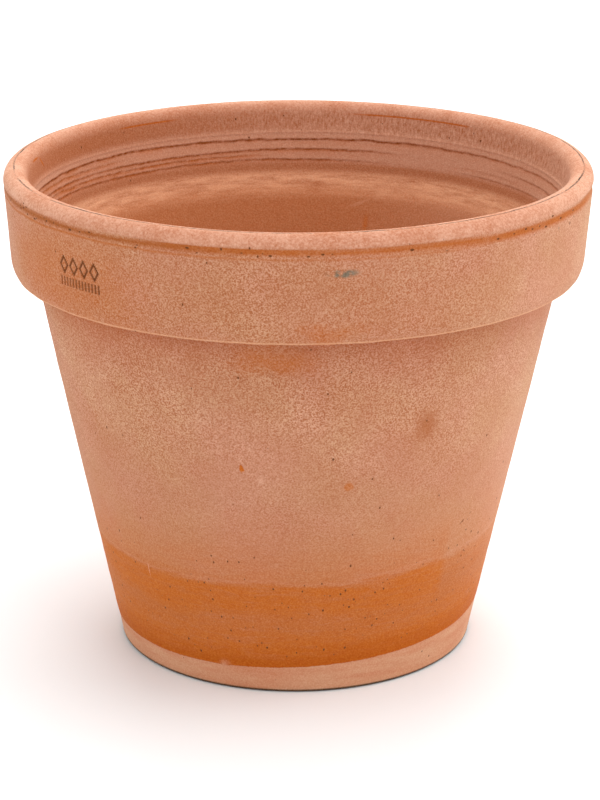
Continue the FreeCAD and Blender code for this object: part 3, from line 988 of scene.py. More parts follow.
def damp_foot(tree, place, finish, colour, worms):
    """Orange clay that the damp keeps bare above the foot, in soft bands that follow the waterline, the
    pale band below the waterline, the thin lime line where the damp stops, and a painted contact shadow:
    a dark ring along the foot's lowest edge, where the pot meets the floor."""
    nodes, links = tree.nodes, tree.links
    wide = nodes.new("ShaderNodeMapping")
    wide.label = "Stretch round the pot"
    streaks = nodes.new("ShaderNodeTexNoise")
    streaks.label = "Streaks along the bands"
    wobble = nodes.new("ShaderNodeTexNoise")
    wobble.label = "Slow wobble of the bands"
    shift = nodes.new("ShaderNodeMath")
    shift.label = "Streaks shift the bands"
    sway = nodes.new("ShaderNodeMath")
    sway.label = "Wobble shifts the bands"
    level = nodes.new("ShaderNodeMath")
    level.label = "Band height as a share"
    bands = nodes.new("ShaderNodeValToRGB")
    bands.label = "How bare each band is"
    cut = nodes.new("ShaderNodeValToRGB")
    cut.label = "Where the damp patch lies"
    cut_low = nodes.new("ShaderNodeMapRange")
    cut_low.label = "Only the upper band ends"
    cut_share = nodes.new("ShaderNodeMath")
    cut_share.label = "Patch end by height"
    strength = nodes.new("ShaderNodeMath")
    strength.label = "Bare orange here"
    grit = nodes.new("ShaderNodeMapRange")
    grit.label = "Lime left in the grain"
    gritty = nodes.new("ShaderNodeMath")
    gritty.label = "Bare between the grains"
    strokes = nodes.new("ShaderNodeTexNoise")
    strokes.label = "Fine strokes along the bands"
    stroke_share = nodes.new("ShaderNodeMapRange")
    stroke_share.label = "Thin strokes of lime"
    stroked = nodes.new("ShaderNodeMath")
    stroked.label = "Bare between the strokes"
    dried = nodes.new("ShaderNodeValToRGB")
    dried.label = "Where the damp stops"
    dried_line = nodes.new("ShaderNodeMix")
    dried_line.label = "Thin line of lime"
    bare = nodes.new("ShaderNodeMix")
    bare.label = "Bare orange clay"
    dark = nodes.new("ShaderNodeMapRange")
    dark.label = "Darkest near the waterline"
    deep = nodes.new("ShaderNodeMix")
    deep.label = "Umber near the waterline"
    frayed = nodes.new("ShaderNodeTexNoise")
    frayed.label = "Frayed waterline"
    fray = nodes.new("ShaderNodeMath")
    fray.label = "Waterline moved by fraying"
    pale = nodes.new("ShaderNodeMapRange")
    pale.label = "Below the waterline"
    crumb = nodes.new("ShaderNodeAttribute")
    crumb.label = "Crumb of pale clay"
    crumbed = nodes.new("ShaderNodeMath")
    crumbed.label = "Foot band or crumb"
    mottle_share = nodes.new("ShaderNodeMapRange")
    mottle_share.label = "Faint mottling"
    mottle = nodes.new("ShaderNodeMix")
    mottle.label = "Mottled pale clay"
    banded = nodes.new("ShaderNodeMix")
    banded.label = "Pale foot band"
    # Painted contact shadow: the lowest 1.5 mm of the foot is darkened where it meets the floor.
    stand_share = nodes.new("ShaderNodeMapRange")
    stand_share.label = "Where the pot stands"
    stood = nodes.new("ShaderNodeMix")
    stood.label = "Painted contact shadow where the pot stands"
    arrange(
        tree, "Damp foot",
        [wide, wobble, frayed], [streaks, fray], [shift, sway], [level, cut], [bands, cut_low],
        [cut_share, strength], [grit, gritty, strokes], [stroke_share, stroked], [bare, dark, dried],
        [dried_line], [deep, pale], [mottle_share, crumb], [mottle, crumbed], [stand_share, banded], [stood],
    )

    for noise, *values in (
        (streaks, 38, 4, 0.6),
        (wobble, 14, 1, 0.5),
        (strokes, 62, 6, 0.62, 1.4),
        (frayed, 900, 3, 0.5),
    ):
        for setting, value in zip(NOISE_SETTINGS, values):
            noise.inputs[setting].default_value = value
    for ranged, *ends in (
        (cut_low, 27, 35, 0, 1),
        (grit, 0.34, 0.66, 1.0, 0.88),
        (stroke_share, 0.46, 0.64, 1.0, 0.72),
        (dark, 28, 17, 0, 1),
        (pale, WATERLINE / MM + 0.35 + 0.2, WATERLINE / MM + 0.35 - 0.2, 0, 1),
        (mottle_share, 0.35, 0.65, 0.15, 0.60),
        # Painted contact shadow at the foot's lowest edge.
        (stand_share, 1.5, 0.7, 0, 0.92),
    ):
        for end, value in zip(RANGE_ENDS, ends):
            ranged.inputs[end].default_value = value
    for ranged in (cut_low, dark, pale, stand_share):
        ranged.interpolation_type = "SMOOTHSTEP"
    for sum_node in (shift, sway, level, fray):
        sum_node.operation = "MULTIPLY_ADD"
    for product in (strength, gritty, stroked):
        product.operation = "MULTIPLY"
    banded.data_type = "RGBA"
    wide.inputs["Scale"].default_value = (1, 1, 7)
    shift.inputs[1].default_value = 8
    sway.inputs[1].default_value = 10
    level.inputs[1].default_value = 0.01
    level.inputs[2].default_value = -0.09
    set_stops(bands, BARE_BY_HEIGHT)
    set_stops(cut, ((0.10, 0.55), (0.22, 1), (0.621, 1), (0.629, 0.55)))
    cut_share.operation = "POWER"
    set_stops(dried, ((0.468, 0), (0.480, 0.13), (0.492, 0)))
    for mix, tint in (
        (dried_line, finish.bloom), (bare, finish.orange), (deep, finish.umber), (mottle, finish.tan),
        (stood, finish.crack_dirt_and_contact_shadow),
    ):
        mix.data_type = "RGBA"
        mix.inputs[MIX_B].default_value = tint
    fray.inputs[1].default_value = 0.7
    crumb.attribute_name = "crumb"
    crumbed.operation = "MAXIMUM"
    mottle.inputs[MIX_A].default_value = finish.foot

    for pattern in (wide, wobble, frayed):
        links.new(place["spot"], pattern.inputs["Vector"])
    links.new(wide.outputs["Vector"], streaks.inputs["Vector"])
    links.new(streaks.outputs["Fac"], shift.inputs[0])
    links.new(place["tilted"], shift.inputs[2])
    links.new(wobble.outputs["Fac"], sway.inputs[0])
    links.new(shift.outputs["Value"], sway.inputs[2])
    links.new(sway.outputs["Value"], level.inputs[0])
    links.new(level.outputs["Value"], bands.inputs["Fac"])
    links.new(place["turn"], cut.inputs["Fac"])
    links.new(place["tilted"], cut_low.inputs["Value"])
    links.new(cut.outputs["Color"], cut_share.inputs[0])
    links.new(cut_low.outputs["Result"], cut_share.inputs[1])
    links.new(bands.outputs["Color"], strength.inputs[0])
    links.new(cut_share.outputs["Value"], strength.inputs[1])
    links.new(worms, grit.inputs["Value"])
    links.new(grit.outputs["Result"], gritty.inputs[0])
    links.new(strength.outputs["Value"], gritty.inputs[1])
    links.new(wide.outputs["Vector"], strokes.inputs["Vector"])
    links.new(strokes.outputs["Fac"], stroke_share.inputs["Value"])
    links.new(gritty.outputs["Value"], stroked.inputs[0])
    links.new(stroke_share.outputs["Result"], stroked.inputs[1])
    links.new(stroked.outputs["Value"], bare.inputs[MIX_FACTOR])
    links.new(colour, bare.inputs[MIX_A])
    links.new(level.outputs["Value"], dried.inputs["Fac"])
    links.new(dried.outputs["Color"], dried_line.inputs[MIX_FACTOR])
    links.new(bare.outputs[MIX_RESULT], dried_line.inputs[MIX_A])
    links.new(shift.outputs["Value"], dark.inputs["Value"])
    links.new(dark.outputs["Result"], deep.inputs[MIX_FACTOR])
    links.new(dried_line.outputs[MIX_RESULT], deep.inputs[MIX_A])
    links.new(frayed.outputs["Fac"], fray.inputs[0])
    links.new(place["tilted"], fray.inputs[2])
    links.new(fray.outputs["Value"], pale.inputs["Value"])
    links.new(streaks.outputs["Fac"], mottle_share.inputs["Value"])
    links.new(mottle_share.outputs["Result"], mottle.inputs[MIX_FACTOR])
    links.new(pale.outputs["Result"], crumbed.inputs[0])
    links.new(crumb.outputs["Fac"], crumbed.inputs[1])
    links.new(crumbed.outputs["Value"], banded.inputs[MIX_FACTOR])
    links.new(deep.outputs[MIX_RESULT], banded.inputs[MIX_A])
    links.new(mottle.outputs[MIX_RESULT], banded.inputs[MIX_B])
    # Painted contact shadow laid over the foot's lowest edge.
    links.new(place["height"], stand_share.inputs["Value"])
    links.new(stand_share.outputs["Result"], stood.inputs[MIX_FACTOR])
    links.new(banded.outputs[MIX_RESULT], stood.inputs[MIX_A])
    return stood.outputs[MIX_RESULT], strength.outputs["Value"]


def worn_rim(tree, place, finish, colour):
    """The rim's wear: bare orange clay in the worn hollow under the lip, dirtier to the left, a fainter
    rubbed line below it, a paler and smoother lip and a dark hairline crack along its top; and a painted
    highlight, a pale line along the rim's lower edge where that edge catches the light."""
    nodes, links = tree.nodes, tree.links
    hollow = nodes.new("ShaderNodeAttribute")
    hollow.label = "Worn hollow under the lip"
    rub = nodes.new("ShaderNodeTexNoise")
    rub.label = "Uneven rubbing"
    rub_share = nodes.new("ShaderNodeMapRange")
    rub_share.label = "How far it is rubbed"
    worn = nodes.new("ShaderNodeMath")
    worn.label = "Rubbed bare in the hollow"
    line_height = nodes.new("ShaderNodeMath")
    line_height.label = "Rubbed line wavers"
    line_place = nodes.new("ShaderNodeMapRange")
    line_place.label = "Across the rubbed line"
    line = nodes.new("ShaderNodeValToRGB")
    line.label = "Faint rubbed line"
    face = nodes.new("ShaderNodeMath")
    face.label = "Outer face only"
    line_share = nodes.new("ShaderNodeMath")
    line_share.label = "Line on the outer face"
    line_side = nodes.new("ShaderNodeMapRange")
    line_side.label = "Line is deeper to the left"
    line_here = nodes.new("ShaderNodeMath")
    line_here.label = "Line here"
    bare = nodes.new("ShaderNodeMath")
    bare.label = "Hollow or line"
    rubbed = nodes.new("ShaderNodeMix")
    rubbed.label = "Bare orange under the lip"
    dirt_side = nodes.new("ShaderNodeMapRange")
    dirt_side.label = "Dirt towards the left"
    dirt = nodes.new("ShaderNodeMath")
    dirt.label = "Dirt in the hollow"
    dirtied = nodes.new("ShaderNodeMix")
    dirtied.label = "Dirty hollow on the left"
    arrange(
        tree, "Rubbed band under the lip",
        [hollow, rub], [rub_share, line_height], [worn, line_place], [line, face], [line_share, line_side],
        [line_here, dirt_side], [bare, dirt], [rubbed], [dirtied],
    )

    lip_side = nodes.new("ShaderNodeMapRange")
    lip_side.label = "Above the worn hollow"
    flecks = nodes.new("ShaderNodeTexNoise")
    flecks.label = "Flecks on the lip"
    lip_pattern = nodes.new("ShaderNodeMath")
    lip_pattern.label = "Flecks and patches"
    lip_tone = nodes.new("ShaderNodeMapRange")
    lip_tone.label = "Pale flecks on the lip"
    lip_clay = nodes.new("ShaderNodeMix")
    lip_clay.label = "Pale clay of the lip"
    lipped = nodes.new("ShaderNodeMix")
    lipped.label = "Smooth pale lip"
    arrange(tree, "Pale lip", [flecks], [lip_side, lip_pattern], [lip_tone], [lip_clay], [lipped])

    wander = nodes.new("ShaderNodeMath")
    wander.label = "The crack wanders"
    crack_place = nodes.new("ShaderNodeMapRange")
    crack_place.label = "Across the crack"
    crack = nodes.new("ShaderNodeValToRGB")
    crack.label = "Hairline crack"
    crest = nodes.new("ShaderNodeMath")
    crest.label = "Only on the lip's top"
    crested = nodes.new("ShaderNodeMath")
    crested.label = "Crack on the lip"
    gaps = nodes.new("ShaderNodeTexNoise")
    gaps.label = "Crack opens and closes"
    gap_share = nodes.new("ShaderNodeMapRange")
    gap_share.label = "How open the crack is"
    open_crack = nodes.new("ShaderNodeMath")
    open_crack.label = "Open crack"
    cracked = nodes.new("ShaderNodeMix")
    cracked.label = "Dirt in the crack"
    arrange(
        tree, "Crack along the lip",
        [wander, gaps], [crack_place, gap_share], [crack, crest], [crested], [open_crack], [cracked],
    )

    # Painted highlight: a pale line along the rim's lower edge, where the edge catches the light.
    edge_place = nodes.new("ShaderNodeMapRange")
    edge_place.label = "Across the rim's lower edge"
    edge = nodes.new("ShaderNodeValToRGB")
    edge.label = "Painted highlight on the edge"
    edge_side = nodes.new("ShaderNodeMath")
    edge_side.label = "Only the rim's own edge"
    edge_share = nodes.new("ShaderNodeMath")
    edge_share.label = "Painted highlight share"
    edged = nodes.new("ShaderNodeMix")
    edged.label = "Painted highlight on the lower edge"
    arrange(tree, "Chalky rim edge", [edge_place], [edge, edge_side], [edge_share], [edged])

    for noise, *values in (
        (rub, 60, 6, 0.72),
        (flecks, 1150, 4, 0.7),
        (gaps, 30, 7, 0.8),
    ):
        for setting, value in zip(NOISE_SETTINGS, values):
            noise.inputs[setting].default_value = value
    for ranged, *ends in (
        (rub_share, 0.34, 0.52, 0.72, 1),
        (line_place, 168.4, 172.4, 0, 1),
        (line_side, -90 * MM, 10 * MM, 1.9, 1.0),
        (dirt_side, -92 * MM, 0, 0.70, 0),
        (lip_side, 172.7, 173.9, 0, 0.88),
        (lip_tone, 0.83, 1.13, 0, 1),
        (crack_place, 99.9, 103.9, 0, 1),
        (gap_share, 0.42, 0.58, 0, 1),
        (edge_place, SHOULDER / MM - 1.0, SHOULDER / MM + 3.0, 0, 1),
    ):
        for end, value in zip(RANGE_ENDS, ends):
            ranged.inputs[end].default_value = value
    for product in (worn, line_share, line_here, dirt, crested, open_crack, edge_share):
        product.operation = "MULTIPLY"
    for limit in (face, crest, edge_side):
        limit.operation = "GREATER_THAN"
    lipped.data_type = "RGBA"
    hollow.attribute_name = "hollow"
    line_height.operation = "MULTIPLY_ADD"
    line_height.inputs[1].default_value = 1.6
    set_stops(line, ((0.30, 0), (0.50, 0.5), (0.70, 0)))
    face.inputs[1].default_value = 102.6
    bare.operation = "MAXIMUM"
    dirt_side.interpolation_type = "SMOOTHSTEP"
    for mix, tint in (
        (dirtied, finish.ring_soil), (rubbed, finish.rubbed), (lip_clay, finish.bloom),
        (cracked, finish.crack_dirt_and_contact_shadow), (edged, finish.edge_highlight),
    ):
        mix.data_type = "RGBA"
        mix.inputs[MIX_B].default_value = tint

    lip_side.interpolation_type = "SMOOTHSTEP"
    lip_pattern.operation = "ADD"
    lip_clay.inputs[MIX_A].default_value = finish.lip

    wander.operation = "MULTIPLY_ADD"
    wander.inputs[1].default_value = 1.6
    set_stops(crack, ((0.40, 0), (0.47, 1), (0.53, 1), (0.60, 0)))
    crest.inputs[1].default_value = 175.6

    # Painted highlight band across the rim's lower edge.
    set_stops(edge, ((0.22, 0), (0.34, 0.65), (0.46, 0)))
    edge_side.inputs[1].default_value = 99.8

    for pattern in (rub, flecks, gaps):
        links.new(place["spot"], pattern.inputs["Vector"])
    links.new(rub.outputs["Fac"], rub_share.inputs["Value"])
    links.new(hollow.outputs["Fac"], worn.inputs[0])
    links.new(rub_share.outputs["Result"], worn.inputs[1])
    links.new(rub.outputs["Fac"], line_height.inputs[0])
    links.new(place["height"], line_height.inputs[2])
    links.new(line_height.outputs["Value"], line_place.inputs["Value"])
    links.new(line_place.outputs["Result"], line.inputs["Fac"])
    links.new(place["radius"], face.inputs[0])
    links.new(line.outputs["Color"], line_share.inputs[0])
    links.new(face.outputs["Value"], line_share.inputs[1])
    links.new(worn.outputs["Value"], bare.inputs[0])
    links.new(place["across"], line_side.inputs["Value"])
    links.new(line_share.outputs["Value"], line_here.inputs[0])
    links.new(line_side.outputs["Result"], line_here.inputs[1])
    links.new(line_here.outputs["Value"], bare.inputs[1])
    links.new(bare.outputs["Value"], rubbed.inputs[MIX_FACTOR])
    links.new(place["across"], dirt_side.inputs["Value"])
    links.new(worn.outputs["Value"], dirt.inputs[0])
    links.new(dirt_side.outputs["Result"], dirt.inputs[1])
    links.new(dirt.outputs["Value"], dirtied.inputs[MIX_FACTOR])
    links.new(rubbed.outputs[MIX_RESULT], dirtied.inputs[MIX_A])

    links.new(place["height"], lip_side.inputs["Value"])
    links.new(rub.outputs["Fac"], lip_pattern.inputs[0])
    links.new(flecks.outputs["Fac"], lip_pattern.inputs[1])
    links.new(lip_pattern.outputs["Value"], lip_tone.inputs["Value"])
    links.new(lip_tone.outputs["Result"], lip_clay.inputs[MIX_FACTOR])
    links.new(lip_side.outputs["Result"], lipped.inputs[MIX_FACTOR])
    links.new(colour, lipped.inputs[MIX_A])
    links.new(lip_clay.outputs[MIX_RESULT], lipped.inputs[MIX_B])
    links.new(lipped.outputs[MIX_RESULT], rubbed.inputs[MIX_A])

    links.new(rub.outputs["Fac"], wander.inputs[0])
    links.new(place["radius"], wander.inputs[2])
    links.new(wander.outputs["Value"], crack_place.inputs["Value"])
    links.new(crack_place.outputs["Result"], crack.inputs["Fac"])
    links.new(place["height"], crest.inputs[0])
    links.new(crack.outputs["Color"], crested.inputs[0])
    links.new(crest.outputs["Value"], crested.inputs[1])
    links.new(gaps.outputs["Fac"], gap_share.inputs["Value"])
    links.new(crested.outputs["Value"], open_crack.inputs[0])
    links.new(gap_share.outputs["Result"], open_crack.inputs[1])
    links.new(open_crack.outputs["Value"], cracked.inputs[MIX_FACTOR])
    links.new(dirtied.outputs[MIX_RESULT], cracked.inputs[MIX_A])

    links.new(place["height"], edge_place.inputs["Value"])
    links.new(edge_place.outputs["Result"], edge.inputs["Fac"])
    links.new(place["radius"], edge_side.inputs[0])
    links.new(edge.outputs["Color"], edge_share.inputs[0])
    links.new(edge_side.outputs["Value"], edge_share.inputs[1])
    links.new(edge_share.outputs["Value"], edged.inputs[MIX_FACTOR])
    links.new(cracked.outputs[MIX_RESULT], edged.inputs[MIX_A])
    return edged.outputs[MIX_RESULT]


def marks_of_use(tree, place, finish, colour):
    """Single marks, each a soft oval on the rolled-out wall with a frayed edge: a grey-green smudge and a
    grey dab on the rim, a smooth brown smear, an orange spot, a chip with a pale scuff and two slits in the
    wall, and a scratch above the foot."""
    nodes, links = tree.nodes, tree.links
    fray = nodes.new("ShaderNodeTexNoise")
    fray.label = "Frayed edges"
    push = nodes.new("ShaderNodeVectorMath")
    push.label = "Edges pushed about"
    spots, distances, shares = soft_ovals(
        tree, push.outputs["Vector"],
        (
            ("green smudge", 9.4, 166.0, 5.2, 1.35, 0, 0.5, 1.25, 0.9),
            ("grey dab", 58.8, 168.0, 1.3, 1.0, -30, 0.5, 1.1, 0.85),
            ("brown smear", 31.6, 104.6, 6.0, 6.5, 0, 0.2, 1.3, 0.8),
            ("orange spot", 13.4, 84.6, 2.2, 1.9, 0, 0.6, 1.15, 0.55),
            ("orange chip", -11.6, 91.6, 1.0, 1.7, 20, 0.6, 1.1, 0.95),
            ("pale scuff", -7.4, 87.4, 2.6, 1.3, 0, 0.3, 1.2, 0.6),
            ("pale scratch", -44.0, 43.2, 0.35, 3.4, 8, 0.4, 1.2, 0.6),
            ("longer slit", 50.2, 60.2, 1.7, 0.34, 12, 0.5, 1.2, 0.8),
            ("shorter slit", 53.4, 62.6, 1.0, 0.30, 12, 0.5, 1.2, 0.75),
        ),
    )
    smudge, dab, smear, spot, chip, scuff, scratch, slit, nick = shares
    slits = nodes.new("ShaderNodeMath")
    slits.label = "Either slit"
    slitted = nodes.new("ShaderNodeMix")
    slitted.label = "Dark slits in the clay"
    green = nodes.new("ShaderNodeMath")
    green.label = "Smudge or dab"
    oranges = nodes.new("ShaderNodeMath")
    oranges.label = "Spot or chip"
    pales = nodes.new("ShaderNodeMath")
    pales.label = "Scuff or scratch"
    mottle = nodes.new("ShaderNodeMapRange")
    mottle.label = "Smudge is patchy"
    patchy = nodes.new("ShaderNodeMath")
    patchy.label = "Patchy smudge"
    smeared = nodes.new("ShaderNodeMix")
    smeared.label = "Brown smear on the clay"
    spotted = nodes.new("ShaderNodeMix")
    spotted.label = "Orange marks on the clay"
    scuffed = nodes.new("ShaderNodeMix")
    scuffed.label = "Pale marks on the clay"
    smudged = nodes.new("ShaderNodeMix")
    smudged.label = "Grey-green marks on the clay"
    arrange(
        tree, "Marks of use",
        [fray], [push, mottle], spots, distances, shares, [green, oranges, pales, slits], [patchy, smeared],
        [spotted, scuffed], [smudged, slitted],
    )

    fray.inputs["Scale"].default_value = 420
    fray.inputs["Detail"].default_value = 3
    push.operation = "MULTIPLY_ADD"
    push.inputs[1].default_value = (2.4, 2.4, 0)
    mottle.inputs["From Min"].default_value = 0.42
    mottle.inputs["From Max"].default_value = 0.56
    for choice in (green, oranges, pales, slits):
        choice.operation = "MAXIMUM"
    patchy.operation = "MULTIPLY"
    for mix, tint in (
        (smeared, finish.ochre), (spotted, finish.orange), (scuffed, finish.bloom), (smudged, finish.algae),
        (slitted, finish.pore),
    ):
        mix.data_type = "RGBA"
        mix.inputs[MIX_B].default_value = tint

    links.new(place["spot"], fray.inputs["Vector"])
    links.new(fray.outputs["Color"], push.inputs[0])
    links.new(place["unrolled"], push.inputs[2])
    links.new(smudge.outputs["Result"], green.inputs[0])
    links.new(dab.outputs["Result"], green.inputs[1])
    links.new(spot.outputs["Result"], oranges.inputs[0])
    links.new(chip.outputs["Result"], oranges.inputs[1])
    links.new(scuff.outputs["Result"], pales.inputs[0])
    links.new(scratch.outputs["Result"], pales.inputs[1])
    links.new(fray.outputs["Fac"], mottle.inputs["Value"])
    links.new(green.outputs["Value"], patchy.inputs[0])
    links.new(mottle.outputs["Result"], patchy.inputs[1])
    links.new(smear.outputs["Result"], smeared.inputs[MIX_FACTOR])
    links.new(colour, smeared.inputs[MIX_A])
    links.new(oranges.outputs["Value"], spotted.inputs[MIX_FACTOR])
    links.new(smeared.outputs[MIX_RESULT], spotted.inputs[MIX_A])
    links.new(pales.outputs["Value"], scuffed.inputs[MIX_FACTOR])
    links.new(spotted.outputs[MIX_RESULT], scuffed.inputs[MIX_A])
    links.new(patchy.outputs["Value"], smudged.inputs[MIX_FACTOR])
    links.new(scuffed.outputs[MIX_RESULT], smudged.inputs[MIX_A])
    links.new(slit.outputs["Result"], slits.inputs[0])
    links.new(nick.outputs["Result"], slits.inputs[1])
    links.new(slits.outputs["Value"], slitted.inputs[MIX_FACTOR])
    links.new(smudged.outputs[MIX_RESULT], slitted.inputs[MIX_A])
    return slitted.outputs[MIX_RESULT]


def pot_inside(tree, place, finish, colour):
    """The inside: limed in upright streaks below the lip, pinkish bands between the tool's rings, bare
    orange and ragged dark soil at the rings, an orange line and two scratches under parts of the lip, and
    smoother and more orange clay down the wall, with a drip and two pale smears; painted light that makes
    the inside paler towards the right, as more lime runs below the lip and a thin lime tint far down; and
    the plain pale clay of the underside."""
    nodes, links = tree.nodes, tree.links
    inside = nodes.new("ShaderNodeAttribute")
    inside.label = "Inside of the pot"
    upright = nodes.new("ShaderNodeMapping")
    upright.label = "Stretch upright"
    runs = nodes.new("ShaderNodeTexNoise")
    runs.label = "Upright runs of lime"
    run_share = nodes.new("ShaderNodeMapRange")
    run_share.label = "Limed or bare"
    near_lip = nodes.new("ShaderNodeMapRange")
    near_lip.label = "More lime near the lip"
    run_here = nodes.new("ShaderNodeMath")
    run_here.label = "Lime runs here"
    # Painted light: the lime runs grow towards the right, so the inside's right wall is paler.
    run_side = nodes.new("ShaderNodeMapRange")
    run_side.label = "Painted light: more lime runs to the right"
    run_spread = nodes.new("ShaderNodeMath")
    run_spread.label = "Lime runs by side"
    between = nodes.new("ShaderNodeMapRange")
    between.label = "Even lime between the rings"
    mouth_lime = nodes.new("ShaderNodeMath")
    mouth_lime.label = "Runs or even lime"
    mouth = nodes.new("ShaderNodeMix")
    mouth.label = "Mouth of the pot"
    bare = nodes.new("ShaderNodeAttribute")
    bare.label = "Bare below the rings"
    bare_strokes = nodes.new("ShaderNodeMapRange")
    bare_strokes.label = "Bare in strokes"
    bare_share = nodes.new("ShaderNodeMath")
    bare_share.label = "How bare below the rings"
    ringed = nodes.new("ShaderNodeMix")
    ringed.label = "Bare clay below the rings"
    down = nodes.new("ShaderNodeMapRange")
    down.label = "Below the rings"
    deep = nodes.new("ShaderNodeMapRange")
    deep.label = "Far down the wall"
    stretched = nodes.new("ShaderNodeMapping")
    stretched.label = "Stretch along the rings"
    strokes = nodes.new("ShaderNodeTexNoise")
    strokes.label = "Strokes of the turning"
    stroke_share = nodes.new("ShaderNodeMapRange")
    stroke_share.label = "Pale or dark strokes"
    above = nodes.new("ShaderNodeMapRange")
    above.label = "Bare above the ledge"
    either = nodes.new("ShaderNodeMath")
    either.label = "Dark stroke or bare"
    # Partly painted light: the ledge's colour is lightened for the light on its upward-facing slope.
    shoulder = nodes.new("ShaderNodeMix")
    shoulder.label = "Smooth clay of the ledge, paler as painted light"
    low = nodes.new("ShaderNodeMix")
    low.label = "Orange clay far down"
    wall = nodes.new("ShaderNodeMix")
    wall.label = "Mouth to ledge"
    lined = nodes.new("ShaderNodeMix")
    lined.label = "Outside to inside"
    soil = nodes.new("ShaderNodeAttribute")
    soil.label = "Soil left in the rings"
    crumbs = nodes.new("ShaderNodeTexNoise")
    crumbs.label = "Crumbs of soil"
    crumb_share = nodes.new("ShaderNodeMapRange")
    crumb_share.label = "Soil thick or gone"
    soil_left = nodes.new("ShaderNodeMath")
    soil_left.label = "Ragged soil"
    soiled = nodes.new("ShaderNodeMix")
    soiled.label = "Soil in the rings"
    under = nodes.new("ShaderNodeAttribute")
    under.label = "Underside of the pot"
    bottom = nodes.new("ShaderNodeMix")
    bottom.label = "Pale clay underneath"
    # Painted light: far down the wall, the right side is tinted paler.
    right = nodes.new("ShaderNodeMapRange")
    right.label = "Painted light towards the right inside"
    right_painted_light = nodes.new("ShaderNodeMix")
    right_painted_light.label = "Lime tint as painted light far down on the right"
    under_lip = nodes.new("ShaderNodeMapRange")
    under_lip.label = "Across the line under the lip"
    lip_line = nodes.new("ShaderNodeValToRGB")
    lip_line.label = "Line under the lip"
    parts = nodes.new("ShaderNodeValToRGB")
    parts.label = "Parts where the line shows"
    line_parts = nodes.new("ShaderNodeMath")
    line_parts.label = "Line where it shows"
    lip_lined = nodes.new("ShaderNodeMix")
    lip_lined.label = "Orange line under the lip"
    spots, distances, shares = soft_ovals(
        tree, place["unrolled"],
        (
            ("scratch along the lip", -98.35, 174.4, 5.0, 0.50, 0, 0.4, 1.15, 0.95),
            ("scratch down from the lip", -102.5, 172.05, 0.50, 3.4, -43, 0.4, 1.15, 0.95),
            ("orange drip far down", 161.3, 133.0, 1.4, 4.6, 4, 0.2, 1.2, 0.55),
            ("pale dab on the ledge", 157.5, 145.0, 4.5, 2.2, -20, 0.1, 1.3, 0.50),
            ("pale stroke below the ledge", 163.2, 140.8, 6.0, 0.9, -19, 0.3, 1.2, 0.45),
        ),
    )
    along_lip, down_lip, drip, dab, stroke = shares
    dripped = nodes.new("ShaderNodeMix")
    dripped.label = "Orange drip"
    dabs = nodes.new("ShaderNodeMath")
    dabs.label = "Pale dab or stroke"
    dabbed = nodes.new("ShaderNodeMix")
    dabbed.label = "Pale smears on the ledge"
    both = nodes.new("ShaderNodeMath")
    both.label = "Line or first scratch"
    any_line = nodes.new("ShaderNodeMath")
    any_line.label = "Line or any scratch"
    inner_side = nodes.new("ShaderNodeMath")
    inner_side.label = "Inner side of the lip"
    inner_line = nodes.new("ShaderNodeMath")
    inner_line.label = "Lines on the inner side"
    arrange(
        tree, "Inside and underside",
        [upright, stretched, near_lip], [runs, strokes, bare],
        [run_share, stroke_share, bare_strokes, bare_share],
        [run_here, run_side, down, deep, above, under_lip], [run_spread, between, either], [mouth_lime],
        [mouth, shoulder, right, lip_line, parts],
        spots, distances, shares, [ringed, right_painted_light, line_parts], [low, dabs], [dripped], [dabbed],
        [both, inside], [any_line, inner_side, crumbs], [inner_line, wall, crumb_share], [lined, soil],
        [lip_lined, soil_left], [soiled, under], [bottom],
    )

    for noise, *values in (
        (runs, 1350, 4, 0.62),
        (strokes, 70, 6, 0.7),
        (crumbs, 420, 5, 0.7),
    ):
        for setting, value in zip(NOISE_SETTINGS, values):
            noise.inputs[setting].default_value = value
    for ranged, *ends in (
        (run_share, 0.32, 0.70, 0, 1),
        (near_lip, 164, 169, 0.15, 1.0),
        # Painted light: paler lime runs towards the right.
        (run_side, -85 * MM, 30 * MM, 0.0, 1.10),
        (between, 169, 165, 0.0, 0.66),
        (bare_strokes, 0.38, 0.60, 0.30, 1.25),
        (down, 155.8, 153.5, 0, 1),
        (deep, 149, 140, 0, 1),
        (stroke_share, 0.42, 0.72, 0, 1),
        (above, 149.5, 152.5, 0, 0.85),
        # Painted light: paler far down towards the right.
        (right, 15 * MM, 70 * MM, 0, 0.30),
        (under_lip, 172.5, 174.5, 0, 1),
        (crumb_share, 0.38, 0.62, 0.25, 1.7),
    ):
        for end, value in zip(RANGE_ENDS, ends):
            ranged.inputs[end].default_value = value
    for ranged in (near_lip, run_side, between, down, deep, above, right):
        ranged.interpolation_type = "SMOOTHSTEP"
    for product in (run_here, run_spread, bare_share, line_parts, inner_line, soil_left):
        product.operation = "MULTIPLY"
    for attribute, name in ((inside, "inside"), (bare, "bare"), (soil, "soil"), (under, "under")):
        attribute.attribute_name = name
    upright.inputs["Scale"].default_value = (1, 1, 0.34)
    mouth_lime.operation = "ADD"
    for clamped in (mouth_lime, bare_share, soil_left):
        clamped.use_clamp = True
    stretched.inputs["Scale"].default_value = (1, 1, 9)
    set_stops(lip_line, ((0.25, 0), (0.42, 0.85), (0.58, 0.85), (0.75, 0)))
    set_stops(parts, LIP_LINE_PARTS)
    for choice in (either, both, any_line, dabs):
        choice.operation = "MAXIMUM"
    for mix, tint in (
        (dripped, finish.orange), (dabbed, finish.ledge), (lip_lined, finish.umber),
        (right_painted_light, finish.inner_lime), (mouth, finish.inner_lime), (ringed, finish.rubbed),
        (shoulder, finish.inner), (soiled, finish.ring_soil), (bottom, finish.foot),
    ):
        mix.data_type = "RGBA"
        mix.inputs[MIX_B].default_value = tint
    inner_side.operation = "GREATER_THAN"
    inner_side.inputs[1].default_value = 0.04
    for mix in (low, wall, lined):
        mix.data_type = "RGBA"
    for mix, tint in ((mouth, finish.inner), (shoulder, finish.ledge), (right_painted_light, finish.inner_low)):
        mix.inputs[MIX_A].default_value = tint

